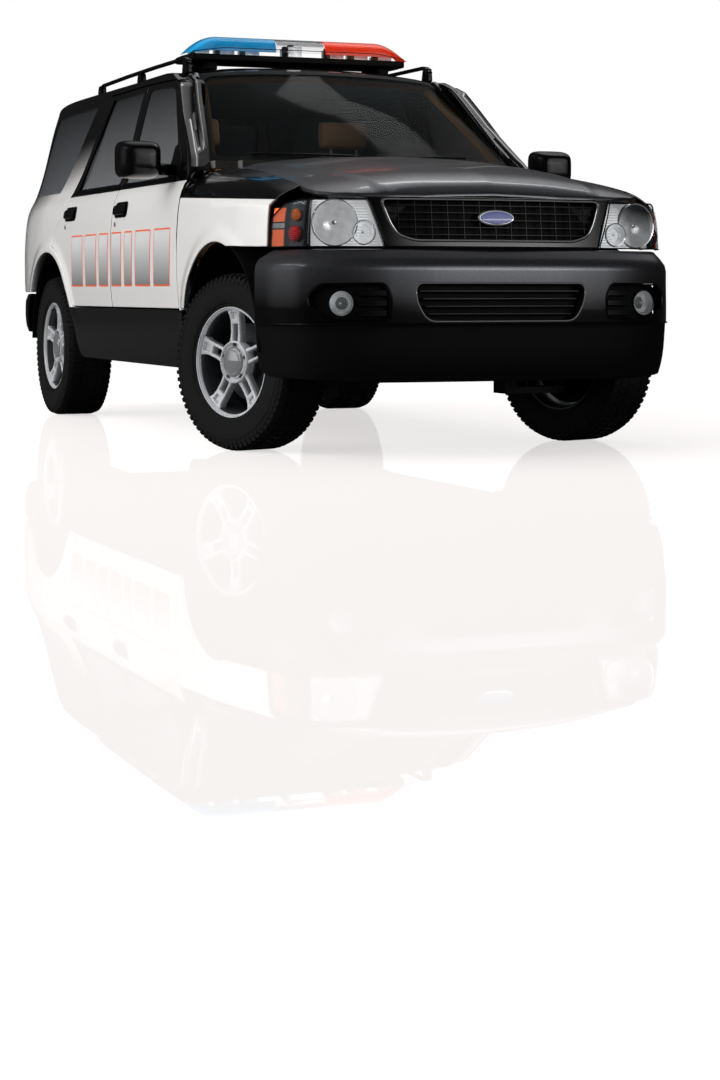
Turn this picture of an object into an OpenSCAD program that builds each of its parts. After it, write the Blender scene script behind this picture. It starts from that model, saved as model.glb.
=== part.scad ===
// Police patrol sport-utility car, built as separate named pieces with real joints.
// Millimetres. +X is the car's left side, -Y is its front, +Z is up.
// The origin is on the ground under the middle of the car.

/* [Overall] */
// Distance between the front and rear axles
wheelbase = 2891; // [2700:1:3480]
// Front bumper to the front axle
front_overhang = 861; // [820:1:1000]
// Rear axle to the rear bumper
rear_overhang = 1064; // [950:1:1270]
// Width over the widest part of the doors
body_width = 1831; // [1750:1:2200]
// Distance between the middles of the two tyres on an axle
track = 1547; // [1480:1:1560]

/* [Heights] */
// Underside of the rocker panel
rocker_z = 320; // [280:1:340]
// Gap line under the doors
door_bottom_z = 585; // [560:1:610]
// Lower edge of the side windows
belt_z = 1172; // [1140:1:1200]
// Upper edge of the side windows
glass_top_z = 1640; // [1600:1:1660]
// Top of the roof panel on the centre line
roof_z = 1762; // [1755:1:1900]
// Top of the cabin floor
floor_z = 500; // [480:1:510]

/* [Doors and panels] */
// Length of a front door along its bottom
front_door_length = 1093; // [1000:1:1150]
// Front axle to the leading edge of the front door
door_setback = 547; // [540:1:600]
// Width of the gap between neighbouring panels
panel_gap = 7; // [5.8:0.1:8.4]
// Thickness of a door's outer skin layer
skin = 18; // [12:1:20]
// Thickness of a whole door
door_thickness = 92; // [70:0.1:112]
// Overlap of a door's skin past its inner box
flange = 32; // [30:1:40]
// Thickness of the window glass
glass = 5; // [4:0.5:6]
// Hood sheet thickness
hood_thickness = 24; // [18:1:30]
// Roof panel thickness
roof_thickness = 28; // [20:1:34]

/* [Wheels] */
// Outer radius of the tyre
tyre_radius = 368; // [305:1:380]
// Width of the tyre
tyre_width = 245; // [215:1:255]
// Radius of the rim's outer lip
rim_radius = 231; // [215:1:245]
// Height of the wheel arch centres above the ground
arch_z = 368; // [360:1:380]
// Radius of the wheel arch openings
arch_radius = 500; // [490:1:515]
// Steering angle at which the car is parked, to the left
parked_steer = 20; // [0:1:25]
// Radius of the hub bore in each rim
hub_bore = 34; // [30:1:38]

/* [Light bar] */
// Length of the roof light bar
bar_length = 1150; // [960:1:1250]
// Height of the light bar's domes above its base
dome_height = 92; // [80:1:110]

/* [Hidden] */
$fn = 48;

half_w = body_width / 2;
// A place across the car that lies outside every side panel
outer_x = half_w + 84.5;
length = front_overhang + wheelbase + rear_overhang;
nose_y = -length / 2;
tail_y = length / 2;
axle_f = nose_y + front_overhang;
axle_r = tail_y - rear_overhang;
gap_a = axle_f + door_setback;
gap_b = gap_a + front_door_length;
gap_c = axle_r - 324;
hub_z = tyre_radius;

// How far the side surface lies inside the half width, by height
side_section = [[280, 82], [rocker_z, 60], [430, 26], [door_bottom_z, 12], [720, 1],
    [860, 0], [960, 4], [1050, 13], [1110, 28], [1150, 48], [belt_z, 60],
    [glass_top_z, 192], [1700, 214], [1716, 275]];
// How far the side surface tapers in towards the nose and the tail, by length
side_plan = [[nose_y - 20, 330], [nose_y + 30, 235], [nose_y + 90, 155], [nose_y + 170, 98],
    [nose_y + 280, 60], [nose_y + 430, 28], [nose_y + 650, 8], [axle_f + 330, 0],
    [axle_r + 100, 0], [tail_y - 600, 14], [tail_y - 420, 32], [tail_y - 300, 56],
    [tail_y - 200, 86], [tail_y - 120, 122], [tail_y - 60, 160], [tail_y + 20, 225]];
function side_x(y, z) = half_w - lookup(z, side_section) - lookup(y, side_plan);
// The table's own stations between two values, with both ends
function stops(table, low, high) =
    concat([low], [for (row = table) if (row[0] > low + 1 && row[0] < high - 1) row[0]], [high]);

// A closed plate between two grids of points, each a list of rows
module plate(outer, inner) {
    m = len(outer) - 1;
    n = len(outer[0]) - 1;
    count = (m + 1) * (n + 1);
    function a(i, j) = i * (n + 1) + j;
    function b(i, j) = count + a(i, j);
    // two triangles of each cell, split the same way on both sides of the middle
    function split(i, p, q, r, t) = i < m / 2 ? [[p, q, r], [p, r, t]] : [[p, q, t], [q, r, t]];
    points = concat([for (row = outer, p = row) p], [for (row = inner, p = row) p]);
    faces = concat(
        [for (i = [0 : m - 1], j = [0 : n - 1]) 
            each split(i, a(i, j), a(i, j + 1), a(i + 1, j + 1), a(i + 1, j))],
        [for (i = [0 : m - 1], j = [0 : n - 1]) each
            [for (f = split(i, b(i, j), b(i, j + 1), b(i + 1, j + 1), b(i + 1, j)))
            [f[2], f[1], f[0]]]],
        [for (i = [0 : m - 1]) [a(i, 0), a(i + 1, 0), b(i + 1, 0), b(i, 0)]],
        [for (i = [0 : m - 1]) [a(i + 1, n), a(i, n), b(i, n), b(i + 1, n)]],
        [for (j = [0 : n - 1]) [a(0, j + 1), a(0, j), b(0, j), b(0, j + 1)]],
        [for (j = [0 : n - 1]) [a(m, j), a(m, j + 1), b(m, j + 1), b(m, j)]]);
    polyhedron(points, faces);
}

// The left side of the body between two depths behind its outer surface
module side_slab(y0, y1, z0, z1, depth0, depth1) {
    ys = stops(side_plan, y0, y1);
    zs = stops(side_section, z0, z1);
    plate([for (y = ys) [for (z = zs) [side_x(y, z) - depth0, y, z]]],
        [for (y = ys) [for (z = zs) [side_x(y, z) - depth1, y, z]]]);
}

// Outlines seen from the side, from the front and from above, pushed through the car
module side_prism(points, x0 = 100, x1 = outer_x)
    translate([x0, 0, 0]) rotate([90, 0, 90]) linear_extrude(x1 - x0) polygon(points);
module front_prism(points, y0, y1)
    translate([0, y1, 0]) rotate([90, 0, 0]) linear_extrude(y1 - y0) polygon(points);
function mirrored(points) = concat(points,
    [for (i = [len(points) - 1 : -1 : 0]) [-points[i][0], points[i][1]]]);
module both_sides() {
    children();
    mirror([1, 0, 0]) children();
}
module block(low, high) translate(low) cube(high - low);
module rod_x(r, x0, x1, y, z) translate([x0, y, z]) rotate([0, 90, 0]) cylinder(r = r, h = x1 - x0);
module rod_y(r, y0, y1, x, z) translate([x, y0, z]) rotate([-90, 0, 0]) cylinder(r = r, h = y1 - y0);

// Door outlines, (y, z)
half_gap = panel_gap / 2;
frame_top = glass_top_z + 22;
front_door_outline = [[gap_a + half_gap, door_bottom_z], [gap_b - half_gap, door_bottom_z],
    [gap_b - half_gap, frame_top], [gap_a + 640, frame_top - 12], [gap_a + 560, frame_top - 40],
    [gap_a + 95, belt_z + 52], [gap_a + half_gap, belt_z - 20]];
function arc(cy, cz, r, from, to, steps) =
    [for (i = [0 : steps]) let (t = from + (to - from) * i / steps) [cy + r * cos(t), cz + r * sin(t)]];
rear_door_outline = concat([[gap_b + half_gap, frame_top], [gap_b + half_gap, door_bottom_z]],
    arc(axle_r, arch_z, arch_radius + 42, 156.4, 99, 7),
    [[gap_c + 225, belt_z - 236], [gap_c + 130, belt_z - 150], [gap_c + 10, belt_z + 10],
    [gap_c - 262, frame_top]]);
front_window = [[gap_a + 205, belt_z + 10], [gap_b - 52, belt_z + 10], [gap_b - 58, glass_top_z - 8],
    [gap_a + 665, glass_top_z - 20], [gap_a + 590, glass_top_z - 44]];
rear_window = [[gap_b + 56, belt_z + 12], [gap_c - 62, belt_z + 14], [gap_c - 322, glass_top_z - 8],
    [gap_b + 50, glass_top_z - 6]];
quarter_window = [[axle_r - 20, belt_z + 14], [tail_y - 300, belt_z + 18], [tail_y - 500, glass_top_z - 36],
    [tail_y - 560, glass_top_z - 20], [gap_c - 30, glass_top_z - 14]];

hinge_x = half_w - 8;
hinge_inset = 30;
module hinge_relief(y) translate([hinge_x, y, door_bottom_z - panel_gap]) cylinder(r = 37.4, h = 1500);

// An outline grown or shrunk all round and pushed across the car
module grown_prism(points, grow, x0 = 100, x1 = outer_x)
    translate([x0, 0, 0]) rotate([90, 0, 90]) linear_extrude(x1 - x0) offset(delta = grow) polygon(points);

module door(outline, window, y0, y1) {
    z0 = door_bottom_z - 10;
    difference() {
        union() {
            intersection() {
                side_slab(y0, y1, z0, frame_top + 10, 0, skin);
                side_prism(outline);
            }
            intersection() {
                side_slab(y0, y1, z0, belt_z, skin, door_thickness);
                grown_prism(outline, -flange);
            }
            intersection() {
                side_slab(y0, y1, belt_z, frame_top + 10, skin, 40);
                grown_prism(outline, -14);
            }
        }
        side_prism(window);
    }
}
module door_glass(window, y0, y1)
    intersection() {
        side_slab(y0, y1, belt_z - 10, glass_top_z + 10, 7, 7 + glass);
        grown_prism(window, -0.3);
    }
module front_door() door(front_door_outline, front_window, gap_a - 20, gap_b + 20);
module rear_door() door(rear_door_outline, rear_window, gap_b - 20, axle_r + 60);

module front_door_left() color("white") front_door();
module front_door_right() color("white") mirror([1, 0, 0]) front_door();
module rear_door_left() color("white") rear_door();
module rear_door_right() color("white") mirror([1, 0, 0]) rear_door();
module front_door_glass_left() color("dimgray") door_glass(front_window, gap_a, gap_b);
module front_door_glass_right() mirror([1, 0, 0]) front_door_glass_left();
module rear_door_glass_left() color("dimgray") door_glass(rear_window, gap_b, axle_r);
module rear_door_glass_right() mirror([1, 0, 0]) rear_door_glass_left();

// Fixed side of the body: pillars, rocker, roof rail and quarter panel
tail_line = [[tail_y - 78, 655], [tail_y - 92, 1000], [tail_y - 150, belt_z],
    [tail_y - 385, glass_top_z + 36],
    [tail_y - 430, 1690]];
body_outline = concat([[gap_a - 40, rocker_z], [axle_r - 430, rocker_z]],
    arc(axle_r, arch_z, arch_radius, 186, 35, 10), [[tail_y - 350, 655]], tail_line,
    [[tail_y - 700, 1706], [gap_a + 1500, 1716], [gap_a + 900, 1706], [gap_a + 740, 1694],
        [gap_a + 655, 1664],
    [gap_a + 90, belt_z + 92], [gap_a + 5, belt_z + 20], [gap_a - 40, belt_z - 40]]);
fuel_door_centre = [axle_r + 250, 985];
fuel_door_size = 84;
module body_side_solid(fuel) {
    y0 = gap_a - 80;
    y1 = tail_y - 60;
    difference() {
        intersection() {
            side_slab(y0, y1, rocker_z, 1716, 0, 100);
            side_prism(body_outline);
        }
        roof_sheet(roof_half_width + 0.5, -100, roof_thickness + 0.5);
        windshield_sheet(3, -160, glass + 1);
        hood_sheet(-200, 217);
        // room for the liftgate and the tail lamps
        side_prism([[tail_y + 50, 500], [gate_inner[0][0] - 8, 500], gate_inner[0] - [8, 0],
            gate_inner[1] - [8, 0],
            gate_inner[2] - [8, 0], gate_inner[3] - [8, 0], gate_inner[4] - [8, 4],
                [roof_rear + 0.5, roof_z - 90],
            [roof_rear + 0.5, 1800], [tail_y + 50, 1800]], 0, gate_half_width + panel_gap);
        tail_lamp(0.3);
        // the room that both doors fill, skin first and then the inner boxes
        for (outline = [front_door_outline, rear_door_outline])
            intersection() {
                grown_prism(outline, panel_gap);
                side_slab(y0 - 5, y1, door_bottom_z - 40, 1700, -20, 55);
            }
        for (outline = [front_door_outline, rear_door_outline])
            intersection() {
                grown_prism(outline, -flange + 6);
                block([100, y0 - 5, door_bottom_z], [outer_x, y1, belt_z + 6]);
            }
        for (outline = [front_door_outline, rear_door_outline])
            intersection() {
                grown_prism(outline, -30);
                block([100, y0 - 5, belt_z], [outer_x, y1, 1700]);
            }
        // in front of the door the fender covers the pillar
        intersection() {
            block([100, y0 - 5, 300], [outer_x, gap_a + 5, 1300]);
            side_slab(y0 - 5, y1, 281, 1240, -20, 34);
        }
        hinge_relief(gap_a + half_gap + hinge_inset);
        hinge_relief(gap_b + half_gap + hinge_inset);
        side_prism(quarter_window);
        rod_x(arch_radius, 100, outer_x, axle_r, arch_z);
        // inside of the quarter panel, hollow behind its sheet
        intersection() {
            side_prism(concat(arc(axle_r, arch_z, arch_radius + 42, 90, 34, 6),
                [[tail_y - 175, 690], [tail_y - 190, belt_z - 60], [gap_c + 260, belt_z - 60]]));
            side_slab(y0, y1, rocker_z, 1700, 25, 130);
        }
        // recess for the fuel door
        if (fuel) intersection() {
            side_slab(fuel_door_centre[0] - 120, fuel_door_centre[0] + 120, 880, 1100, -20, 18);
            fuel_disc(fuel_door_size + 3);
        }
    }
    // bosses that carry the doors beside their hinges, and the one of the fuel door
    for (y = [gap_a, gap_b]) translate([half_w - 26, y + half_gap + hinge_inset, door_bottom_z - 20])
        cylinder(r = 8, h = 19.7);
    if (fuel) intersection() {
        side_slab(fuel_door_centre[0] - 120, fuel_door_centre[0] + 120, 880, 1100, 10.3, 22);
        block([500, fuel_hinge_y + 9, fuel_door_centre[1] - 20],
            [outer_x, fuel_hinge_y + 20, fuel_door_centre[1] + 20]);
    }
}
fuel_hinge_y = fuel_door_centre[0] - fuel_door_size + 6;
module fuel_disc(r) translate([half_w - 80, fuel_door_centre[0], fuel_door_centre[1]]) rotate([0, 90, 0])
    cylinder(r = r, h = 100);
module body_side_left() color("white") body_side_solid(true);
module body_side_right() color("white") mirror([1, 0, 0]) body_side_solid(false);
module fuel_door() color("white")
    intersection() {
        side_slab(fuel_door_centre[0] - 120, fuel_door_centre[0] + 120, 880, 1100, 0, 10);
        fuel_disc(fuel_door_size);
    }

module quarter_glass() color("dimgray") both_sides()
    intersection() {
        side_slab(axle_r - 500, tail_y - 200, belt_z - 10, glass_top_z + 10, 7, 7 + glass);
        grown_prism(quarter_window, -0.3);
    }

// Hood, fender tops and roof: heights by length on the centre line, and the fall towards the side
hood_rear = gap_a - 68;
hood_front = nose_y + 92;
hood_line = [[nose_y, 1020], [hood_front, 1062], [hood_front + 40, 1096], [hood_front + 120, 1128],
    [hood_front + 300, 1166], [hood_front + 620, 1214], [hood_front + 900, 1246], [gap_a + 60, 1272]];
hood_fall = [[0, 0], [250, 8], [450, 26], [half_w - 315.5, 46],
    [half_w - 215.5, 66], [half_w - 135.5, 92], [half_w - 85.5, 122], [half_w - 55.5, 150],
        [half_w + 14.5, 240]];
function hood_z(x, y) = lookup(y, hood_line) - lookup(abs(x), hood_fall);
roof_line = [[axle_f + 1130, roof_z - 62], [axle_f + 1300, roof_z - 24], [axle_f + 1600, roof_z - 2],
    [axle_f + 2000, roof_z], [axle_f + 2900, roof_z - 8], [tail_y - 480, roof_z - 30],
        [tail_y - 400, roof_z - 44]];
roof_fall = [[0, 0], [300, 8], [450, 20], [half_w - 365.5, 32], [half_w - 295.5, 46], [half_w - 215.5, 70]];
function roof_height(x, y) = lookup(y, roof_line) - lookup(abs(x), roof_fall);

hood_half_width = half_w - 225.5;
hood_nose = [[nose_y + 250, hood_half_width + 40], [nose_y + 150, 660], [hood_front + 14, 480],
    [hood_front, 300], [hood_front, 0]];
// Half of the hood's outline from above
function hood_half_outline() = concat([[0, hood_rear], [hood_half_width - 20, hood_rear],
    [hood_half_width, hood_rear - 300]], [for (p = hood_nose) [p[1], p[0]]]);
module hood_sheet(top, thickness) {
    n = len(hood_fall) - 1;
    xs = [for (i = [-n : n]) sign(i) * hood_fall[abs(i)][0]];
    ys = stops(hood_line, nose_y, gap_a + 40);
    plate([for (x = xs) [for (y = ys) [x, y, hood_z(x, y) - top]]],
        [for (x = xs) [for (y = ys) [x, y, hood_z(x, y) - top - thickness]]]);
}
module hood() color("black")
    intersection() {
        hood_sheet(0, hood_thickness);
        linear_extrude(1500) polygon(mirrored([for (i = [1 : len(hood_half_outline()) - 2])
            hood_half_outline()[i]]));
    }

module fender_solid() {
    difference() {
        intersection() {
            union() {
                side_slab(nose_y + 120, gap_a - half_gap, door_bottom_z, 1165, 0, 14);
                intersection() {
                    hood_sheet(0, 14);
                    block([hood_half_width - 50, nose_y + 120, 900],
                        [half_w + 14.5, gap_a - half_gap, 1300]);
                }
            }
            block([500, nose_y, 500], [outer_x, gap_a - half_gap, 1300]);
            difference() {
                block([0, nose_y, 0], [outer_x, gap_a, 1500]);
                linear_extrude(1500) offset(delta = panel_gap) polygon(hood_half_outline());
            }
            // everything under the top surface
            hood_sheet(0, 700);
        }
        rod_x(arch_radius, 300, outer_x, axle_f, arch_z);
        // nose of the fender ends at the lamp and the bumper
        block([100, nose_y - 10, 500], [outer_x, nose_y + 410, 838]);
        block([100, nose_y - 10, 830], [outer_x, nose_y + 338.5, 1036]);
    }
}
module front_fenders() color("black") both_sides() fender_solid();

roof_half_width = half_w - 275.5;
roof_front = gap_a + 640;
roof_rear = tail_y - 420;
// The roof between two depths, its front edge bent like the top of the windshield
module roof_sheet(half, top, bottom) {
    xs = concat([-half], [for (i = [-5 : 5]) i * 120], [half]);
    ys = stops(roof_line, roof_front, roof_rear);
    function bent(x, y) = let (front = roof_front + bent_back(x))
        front + (y - roof_front) * (roof_rear - front) / (roof_rear - roof_front);
    plate([for (x = xs) [for (y = ys) [x, bent(x, y), roof_height(x, bent(x, y)) - top]]],
        [for (x = xs) [for (y = ys) [x, bent(x, y), roof_height(x, bent(x, y)) - bottom]]]);
}
module roof_panel() color("black") {
    roof_sheet(roof_half_width, 0, roof_thickness);
    // bosses that carry the liftgate below its hinge
    both_sides() block([280, roof_rear - 6, roof_z - 76], [320, roof_rear + panel_gap - 0.3, roof_z - 64]);
}

// Windshield: a bent sheet from the cowl to the front of the roof
cowl_y = gap_a - 60;
cowl_z = 1232;
windshield_bend = [[0, 0], [300, 14], [half_w - 415.5, 46], [half_w - 295.5, 84], [half_w - 155.5, 150]];
function bent_back(x) = lookup(abs(x), windshield_bend) * 0.55;
module windshield_sheet(grow, top, bottom) {
    rows = 4;
    function p(u, t, sink) = let (xe = u * (half_w - 163.5 - 152 * t), x = xe + u * grow,
        y0 = cowl_y + 4 + lookup(abs(xe), windshield_bend), y1 = roof_front - 3.5 + bent_back(xe),
        z1 = roof_height(xe, y1 + 4) - 3)
        [x, y0 + (y1 - y0) * t + sink * 0.55, cowl_z + 12 + (z1 - cowl_z - 12) * t - sink * 0.83];
    us = [for (i = [-5 : 5]) i / 5];
    plate([for (u = us) [for (i = [0 : rows]) p(u, i / rows, top)]],
        [for (u = us) [for (i = [0 : rows]) p(u, i / rows, bottom)]]);
}
module windshield() color("lightgray") windshield_sheet(0, 0, glass);

// Liftgate in the tail, hinged at the roof
gate_half_width = half_w - 275.5;
gate_window_half = gate_half_width - 80;
gate_line = [[roof_rear + panel_gap, roof_z - 46], [tail_y - 330, roof_z - 90], [tail_y - 128, belt_z],
    [tail_y - 96, 1100], [tail_y - 84, 900], [tail_y - 78, 660]];
gate_inner = [[tail_y - 140, 660], [tail_y - 150, 900], [tail_y - 164, 1100], [tail_y - 196, belt_z],
    [tail_y - 390, roof_z - 108], [roof_rear + panel_gap, roof_z - 80]];
gate_window_low = belt_z + 20;
gate_window_high = roof_z - 132;
// The gate's window opening, shrunk all round
module gate_pane(shrink) front_prism([[shrink - gate_window_half, gate_window_low + shrink],
    [gate_window_half - shrink, gate_window_low + shrink],
        [gate_window_half - 30 - shrink, gate_window_high - shrink],
    [30 + shrink - gate_window_half, gate_window_high - shrink]], tail_y - 600, tail_y);
module liftgate() color("black")
    difference() {
        intersection() {
            side_prism(concat(gate_line, gate_inner), -gate_half_width, gate_half_width);
            front_prism(concat([for (i = [-8 : 8]) let (x = i * gate_half_width / 8)
                [x, roof_z - 46 - lookup(abs(x), roof_fall)]], [[gate_half_width, 600],
                    [-gate_half_width, 600]]), roof_rear, tail_y);
        }
        gate_pane(0);
        // flat for the number plate, with its four screw holes
        block([-172, plate_y, plate_z - 92], [172, tail_y, plate_z + 92]);
        both_sides() for (dz = [-1, 1]) rod_y(plate_hole_r, tail_y - 170, tail_y, plate_hole_spacing / 2,
            plate_z + dz * plate_hole_rise / 2);
    }
plate_hole_spacing = 177.8;
plate_hole_rise = 120.6;
plate_hole_r = 3;
plate_z = 905;
plate_y = tail_y - 98;
module liftgate_glass() color("dimgray")
    intersection() {
        translate([0, -12, -6]) side_prism([[tail_y - 330, roof_z - 90], [tail_y - 128, belt_z],
            [tail_y - 128 - glass, belt_z], [tail_y - 330 - glass, roof_z - 90]], 1 - gate_window_half,
                gate_window_half - 1);
        gate_pane(0.3);
    }

// Front end
module plan_shell(points, z0, z1) translate([0, 0, z0]) linear_extrude(z1 - z0) polygon(points);
bumper_top = 830;
bumper_plan = [[half_w - 14, nose_y + 390], [half_w - 40, nose_y + 270], [half_w - 100, nose_y + 150],
    [half_w - 190, nose_y + 80], [half_w - 340, nose_y + 32], [half_w - 560, nose_y + 10], [200, nose_y]];
// The bumper's plan moved in by a depth
module bumper_plan_solid(depth, z0, z1) translate([0, depth, 0])
    plan_shell(mirrored([for (p = bumper_plan) [p[0] - depth, p[1] + (p[1] > nose_y + 300 ? 20 : 0)]]),
        z0, z1);
fog_x = half_w - 250.5;
fog_pocket = [[fog_x - 197, 552], [fog_x + 35, 552], [fog_x + 103, 620], [fog_x + 103, 660],
    [fog_x + 75, 690],
    [fog_x - 175, 690]];
lower_grille = [[-310, 540], [310, 540], [362, 694], [-362, 694]];
module front_bumper() color("dimgray")
    difference() {
        union() {
            plan_shell(mirrored(bumper_plan), 400, bumper_top);
            translate([0, 12, 0]) plan_shell(mirrored([for (p = bumper_plan) [p[0] - 20, p[1]]]), 305, 400);
        }
        bumper_plan_solid(60, 290, bumper_top - 32);
        intersection() {
            bumper_plan_solid(60, bumper_top - 33, bumper_top + 10);
            block([-half_w, nose_y + 130, 0], [half_w, nose_y + 600, 2000]);
        }
        front_prism(lower_grille, nose_y - 20, nose_y + 200);
        both_sides() front_prism(fog_pocket, nose_y - 20, nose_y + 260);
        both_sides() rod_x(arch_radius, 300, outer_x, axle_f, arch_z);
    }
module grille() color("black") {
    intersection() {
        difference() {
            front_prism([[-340, 846], [340, 846], [390, 872], [486, 1052], [-486, 1052],
                [-390, 872]], nose_y + 96, nose_y + 130);
            for (i = [0 : 4]) front_prism([[-340 - 22 * i, 880 + 30 * i], [340 + 22 * i, 880 + 30 * i],
                [348 + 22 * i, 899 + 30 * i], [-348 - 22 * i, 899 + 30 * i]], nose_y + 90, nose_y + 140);
        }
        hood_sheet(hood_thickness + 6, 500);
    }
    difference() {
        front_prism([[-309.6, 540.4], [309.6, 540.4], [361.6, 693.6],
            [-361.6, 693.6]], nose_y + 26, nose_y + 52);
        for (i = [0 : 3]) front_prism([[-290, 560 + 33 * i], [290, 560 + 33 * i], [290, 580 + 33 * i],
            [-290, 580 + 33 * i]],
            nose_y, nose_y + 100);
    }
}
lamp_plan = [[half_w - 48, nose_y + 338], [half_w - 80, nose_y + 240], [half_w - 130, nose_y + 165],
    [half_w - 220, nose_y + 112], [half_w - 340, nose_y + 84], [half_w - 470, nose_y + 70]];
module headlamps() color("lightgray") both_sides() {
    intersection() {
        plan_shell(concat(lamp_plan, [[half_w - 470, nose_y + 150], [half_w - 340, nose_y + 165],
            [half_w - 220, nose_y + 215], [half_w - 150, nose_y + 338]]), bumper_top + 0.5, 1030);
        front_prism([[half_w - 454, bumper_top], [half_w + 34.5, bumper_top], [half_w + 34.5, 1000],
            [half_w - 35.5, 1030], [half_w - 383.5, 1030]], nose_y, nose_y + 500);
        hood_sheet(hood_thickness + 6, 500);
    }
    // fog lamp in its pocket
    intersection() {
        difference() {
            bumper_plan_solid(30, 500, 700);
            bumper_plan_solid(56, 490, 710);
        }
        grown_front(fog_pocket, -0.3, nose_y - 20, nose_y + 260);
    }
    intersection() {
        rod_y(50, nose_y + 20, nose_y + 110, fog_x, 617);
        bumper_plan_solid(12, 500, 700);
    }
}
module grown_front(points, grow, y0, y1)
    translate([0, y1, 0]) rotate([90, 0, 0]) linear_extrude(y1 - y0) offset(delta = grow) polygon(points);
module rear_bumper() color("black")
    difference() {
        plan_shell(mirrored([[half_w - 24, tail_y - 640], [half_w - 40, tail_y - 420],
            [half_w - 62, tail_y - 300],
            [half_w - 92, tail_y - 200], [half_w - 150, tail_y - 90], [half_w - 260, tail_y - 30],
            [half_w - 450, tail_y - 6], [200, tail_y]]), 430, 645);
        plan_shell(mirrored([[half_w - 80, tail_y - 700], [half_w - 100, tail_y - 300],
            [half_w - 150, tail_y - 200],
            [half_w - 220, tail_y - 130], [half_w - 300, tail_y - 100], [half_w - 440, tail_y - 60],
                [200, tail_y - 60]]), 420, 615);
        block([80 - half_w, tail_y - 700, 600], [half_w - 80, tail_y - 140, 660]);
        both_sides() rod_x(arch_radius, 300, outer_x, axle_r, arch_z);
    }
module tail_lamp(grow) intersection() {
    side_slab(tail_y - 250, tail_y - 40, 800, 1120, grow > 0 ? -20 : 0, 30 + grow);
    block([500, tail_y - 240 - grow, 805 - grow], [outer_x, tail_y - 96 + grow * 100, 1115 + grow]);
}
module tail_lamps() color("firebrick") both_sides() tail_lamp(0);

// Roof furniture
module roof_rails() color("black") both_sides() {
    block([roof_half_width - 36, axle_f + 1290, roof_z - 14], [roof_half_width, axle_f + 2900, roof_z + 20]);
    difference() {
        for (y = [axle_f + 1290, axle_f + 2060, axle_f + 2820]) block([roof_half_width - 36, y, roof_z - 90],
            [roof_half_width - 2, y + 80, roof_z - 12]);
        roof_sheet(roof_half_width, -0.3, 100);
    }
}
bar_y = axle_f + 1597;
bar_z = roof_z + 16;
module light_bar_base() color("black") {
    block([-bar_length / 2 + 30, bar_y - 140, bar_z], [bar_length / 2 - 30, bar_y + 140, bar_z + 34]);
    difference() {
        both_sides() for (y = [bar_y - 90, bar_y + 60]) block([430, y, roof_z - 64],
            [470, y + 30, bar_z + 2]);
        roof_sheet(roof_half_width, -0.3, 100);
    }
}
module light_bar_domes() color("royalblue") {
    half = bar_length / 2;
    section = [[bar_y - 150, bar_z + 34], [bar_y - 146, bar_z + 60], [bar_y - 116, bar_z + 34 + dome_height],
        [bar_y + 116, bar_z + 34 + dome_height], [bar_y + 146, bar_z + 60], [bar_y + 150, bar_z + 34]];
    difference() {
        intersection() {
            side_prism(section, -half, half);
            front_prism([[-half, bar_z + 34], [half, bar_z + 34], [half - 14, bar_z + 66],
                [half - 120, bar_z + 34 + dome_height],
                [120 - half, bar_z + 34 + dome_height], [14 - half, bar_z + 66]], bar_y - 200, bar_y + 200);
        }
        block([40 - half, bar_y - 128, bar_z + 30], [half - 40, bar_y + 128, bar_z + 70]);
    }
}

// Underbody
rail_x = 390;
rail_top = 474.5;
module frame_rails() color("dimgray") {
    both_sides() side_prism([[nose_y + 84.5, 360], [axle_r - 420, 360], [axle_r - 330, 418],
        [axle_r + 330, 418],
        [axle_r + 420, 372], [tail_y - 60.5, 372], [tail_y - 60.5, rail_top], [nose_y + 84.5, rail_top]],
        rail_x - 40, rail_x + 40);
    for (y = [nose_y + 132, axle_f - 35, -700, 10, axle_r - 420, tail_y - 200])
        block([-rail_x + 40, y, 412], [rail_x - 40, y + 70, rail_top]);
    // radiator support
    block([454.5 - half_w, nose_y + 130.3, rail_top], [half_w - 454.5, nose_y + 160, 1000]);
}
firewall_y = gap_a - 38;
// Half the width of the wall between the engine and the cabin
wall_half = half_w - 180.5;
module floor_pan() color("dimgray") {
    block([122.5 - half_w, firewall_y, 475], [half_w - 122.5, axle_r - 500, floor_z]);
    block([-584.7, axle_r - 501, 475], [584.7, tail_y - 112, floor_z]);
    block([-gate_half_width, tail_y - 170, 475], [gate_half_width, tail_y - 112, 614.5]);
    // raised load floor over the rear axle
    block([-584.7, gap_b + 960, 640], [584.7, tail_y - 169, 660]);
    block([-584.7, gap_b + 960, 475], [584.7, gap_b + 980, 660]);
    block([-584.7, tail_y - 171, 475], [584.7, tail_y - 160, 660]);
    // the wall between the engine and the cabin, and the cowl under the windshield
    block([-wall_half, firewall_y, 475], [wall_half, firewall_y + 20, 1140]);
    block([115 - wall_half, firewall_y, 1130], [wall_half - 115, firewall_y + 20, 1225]);
    translate([0, 0, 1206]) linear_extrude(33.5) polygon(concat([[-wall_half, gap_a + 2],
        [105 - wall_half, gap_a + 2],
        [105 - wall_half, hood_rear + 7], [wall_half - 105, hood_rear + 7], [wall_half - 105, gap_a + 2],
        [wall_half, gap_a + 2]], [for (x = [wall_half, wall_half - 115, wall_half - 235, 300, 0, -300,
            235 - wall_half,
        115 - wall_half, -wall_half]) [x, cowl_y + 34 + lookup(abs(x), windshield_bend)]]));
    difference() {
        both_sides() block([540, gap_a - 105, 1100], [600, firewall_y + 10, 1240]);
        hood_sheet(-60, 60 + hood_thickness + 0.3);
    }
}
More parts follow.
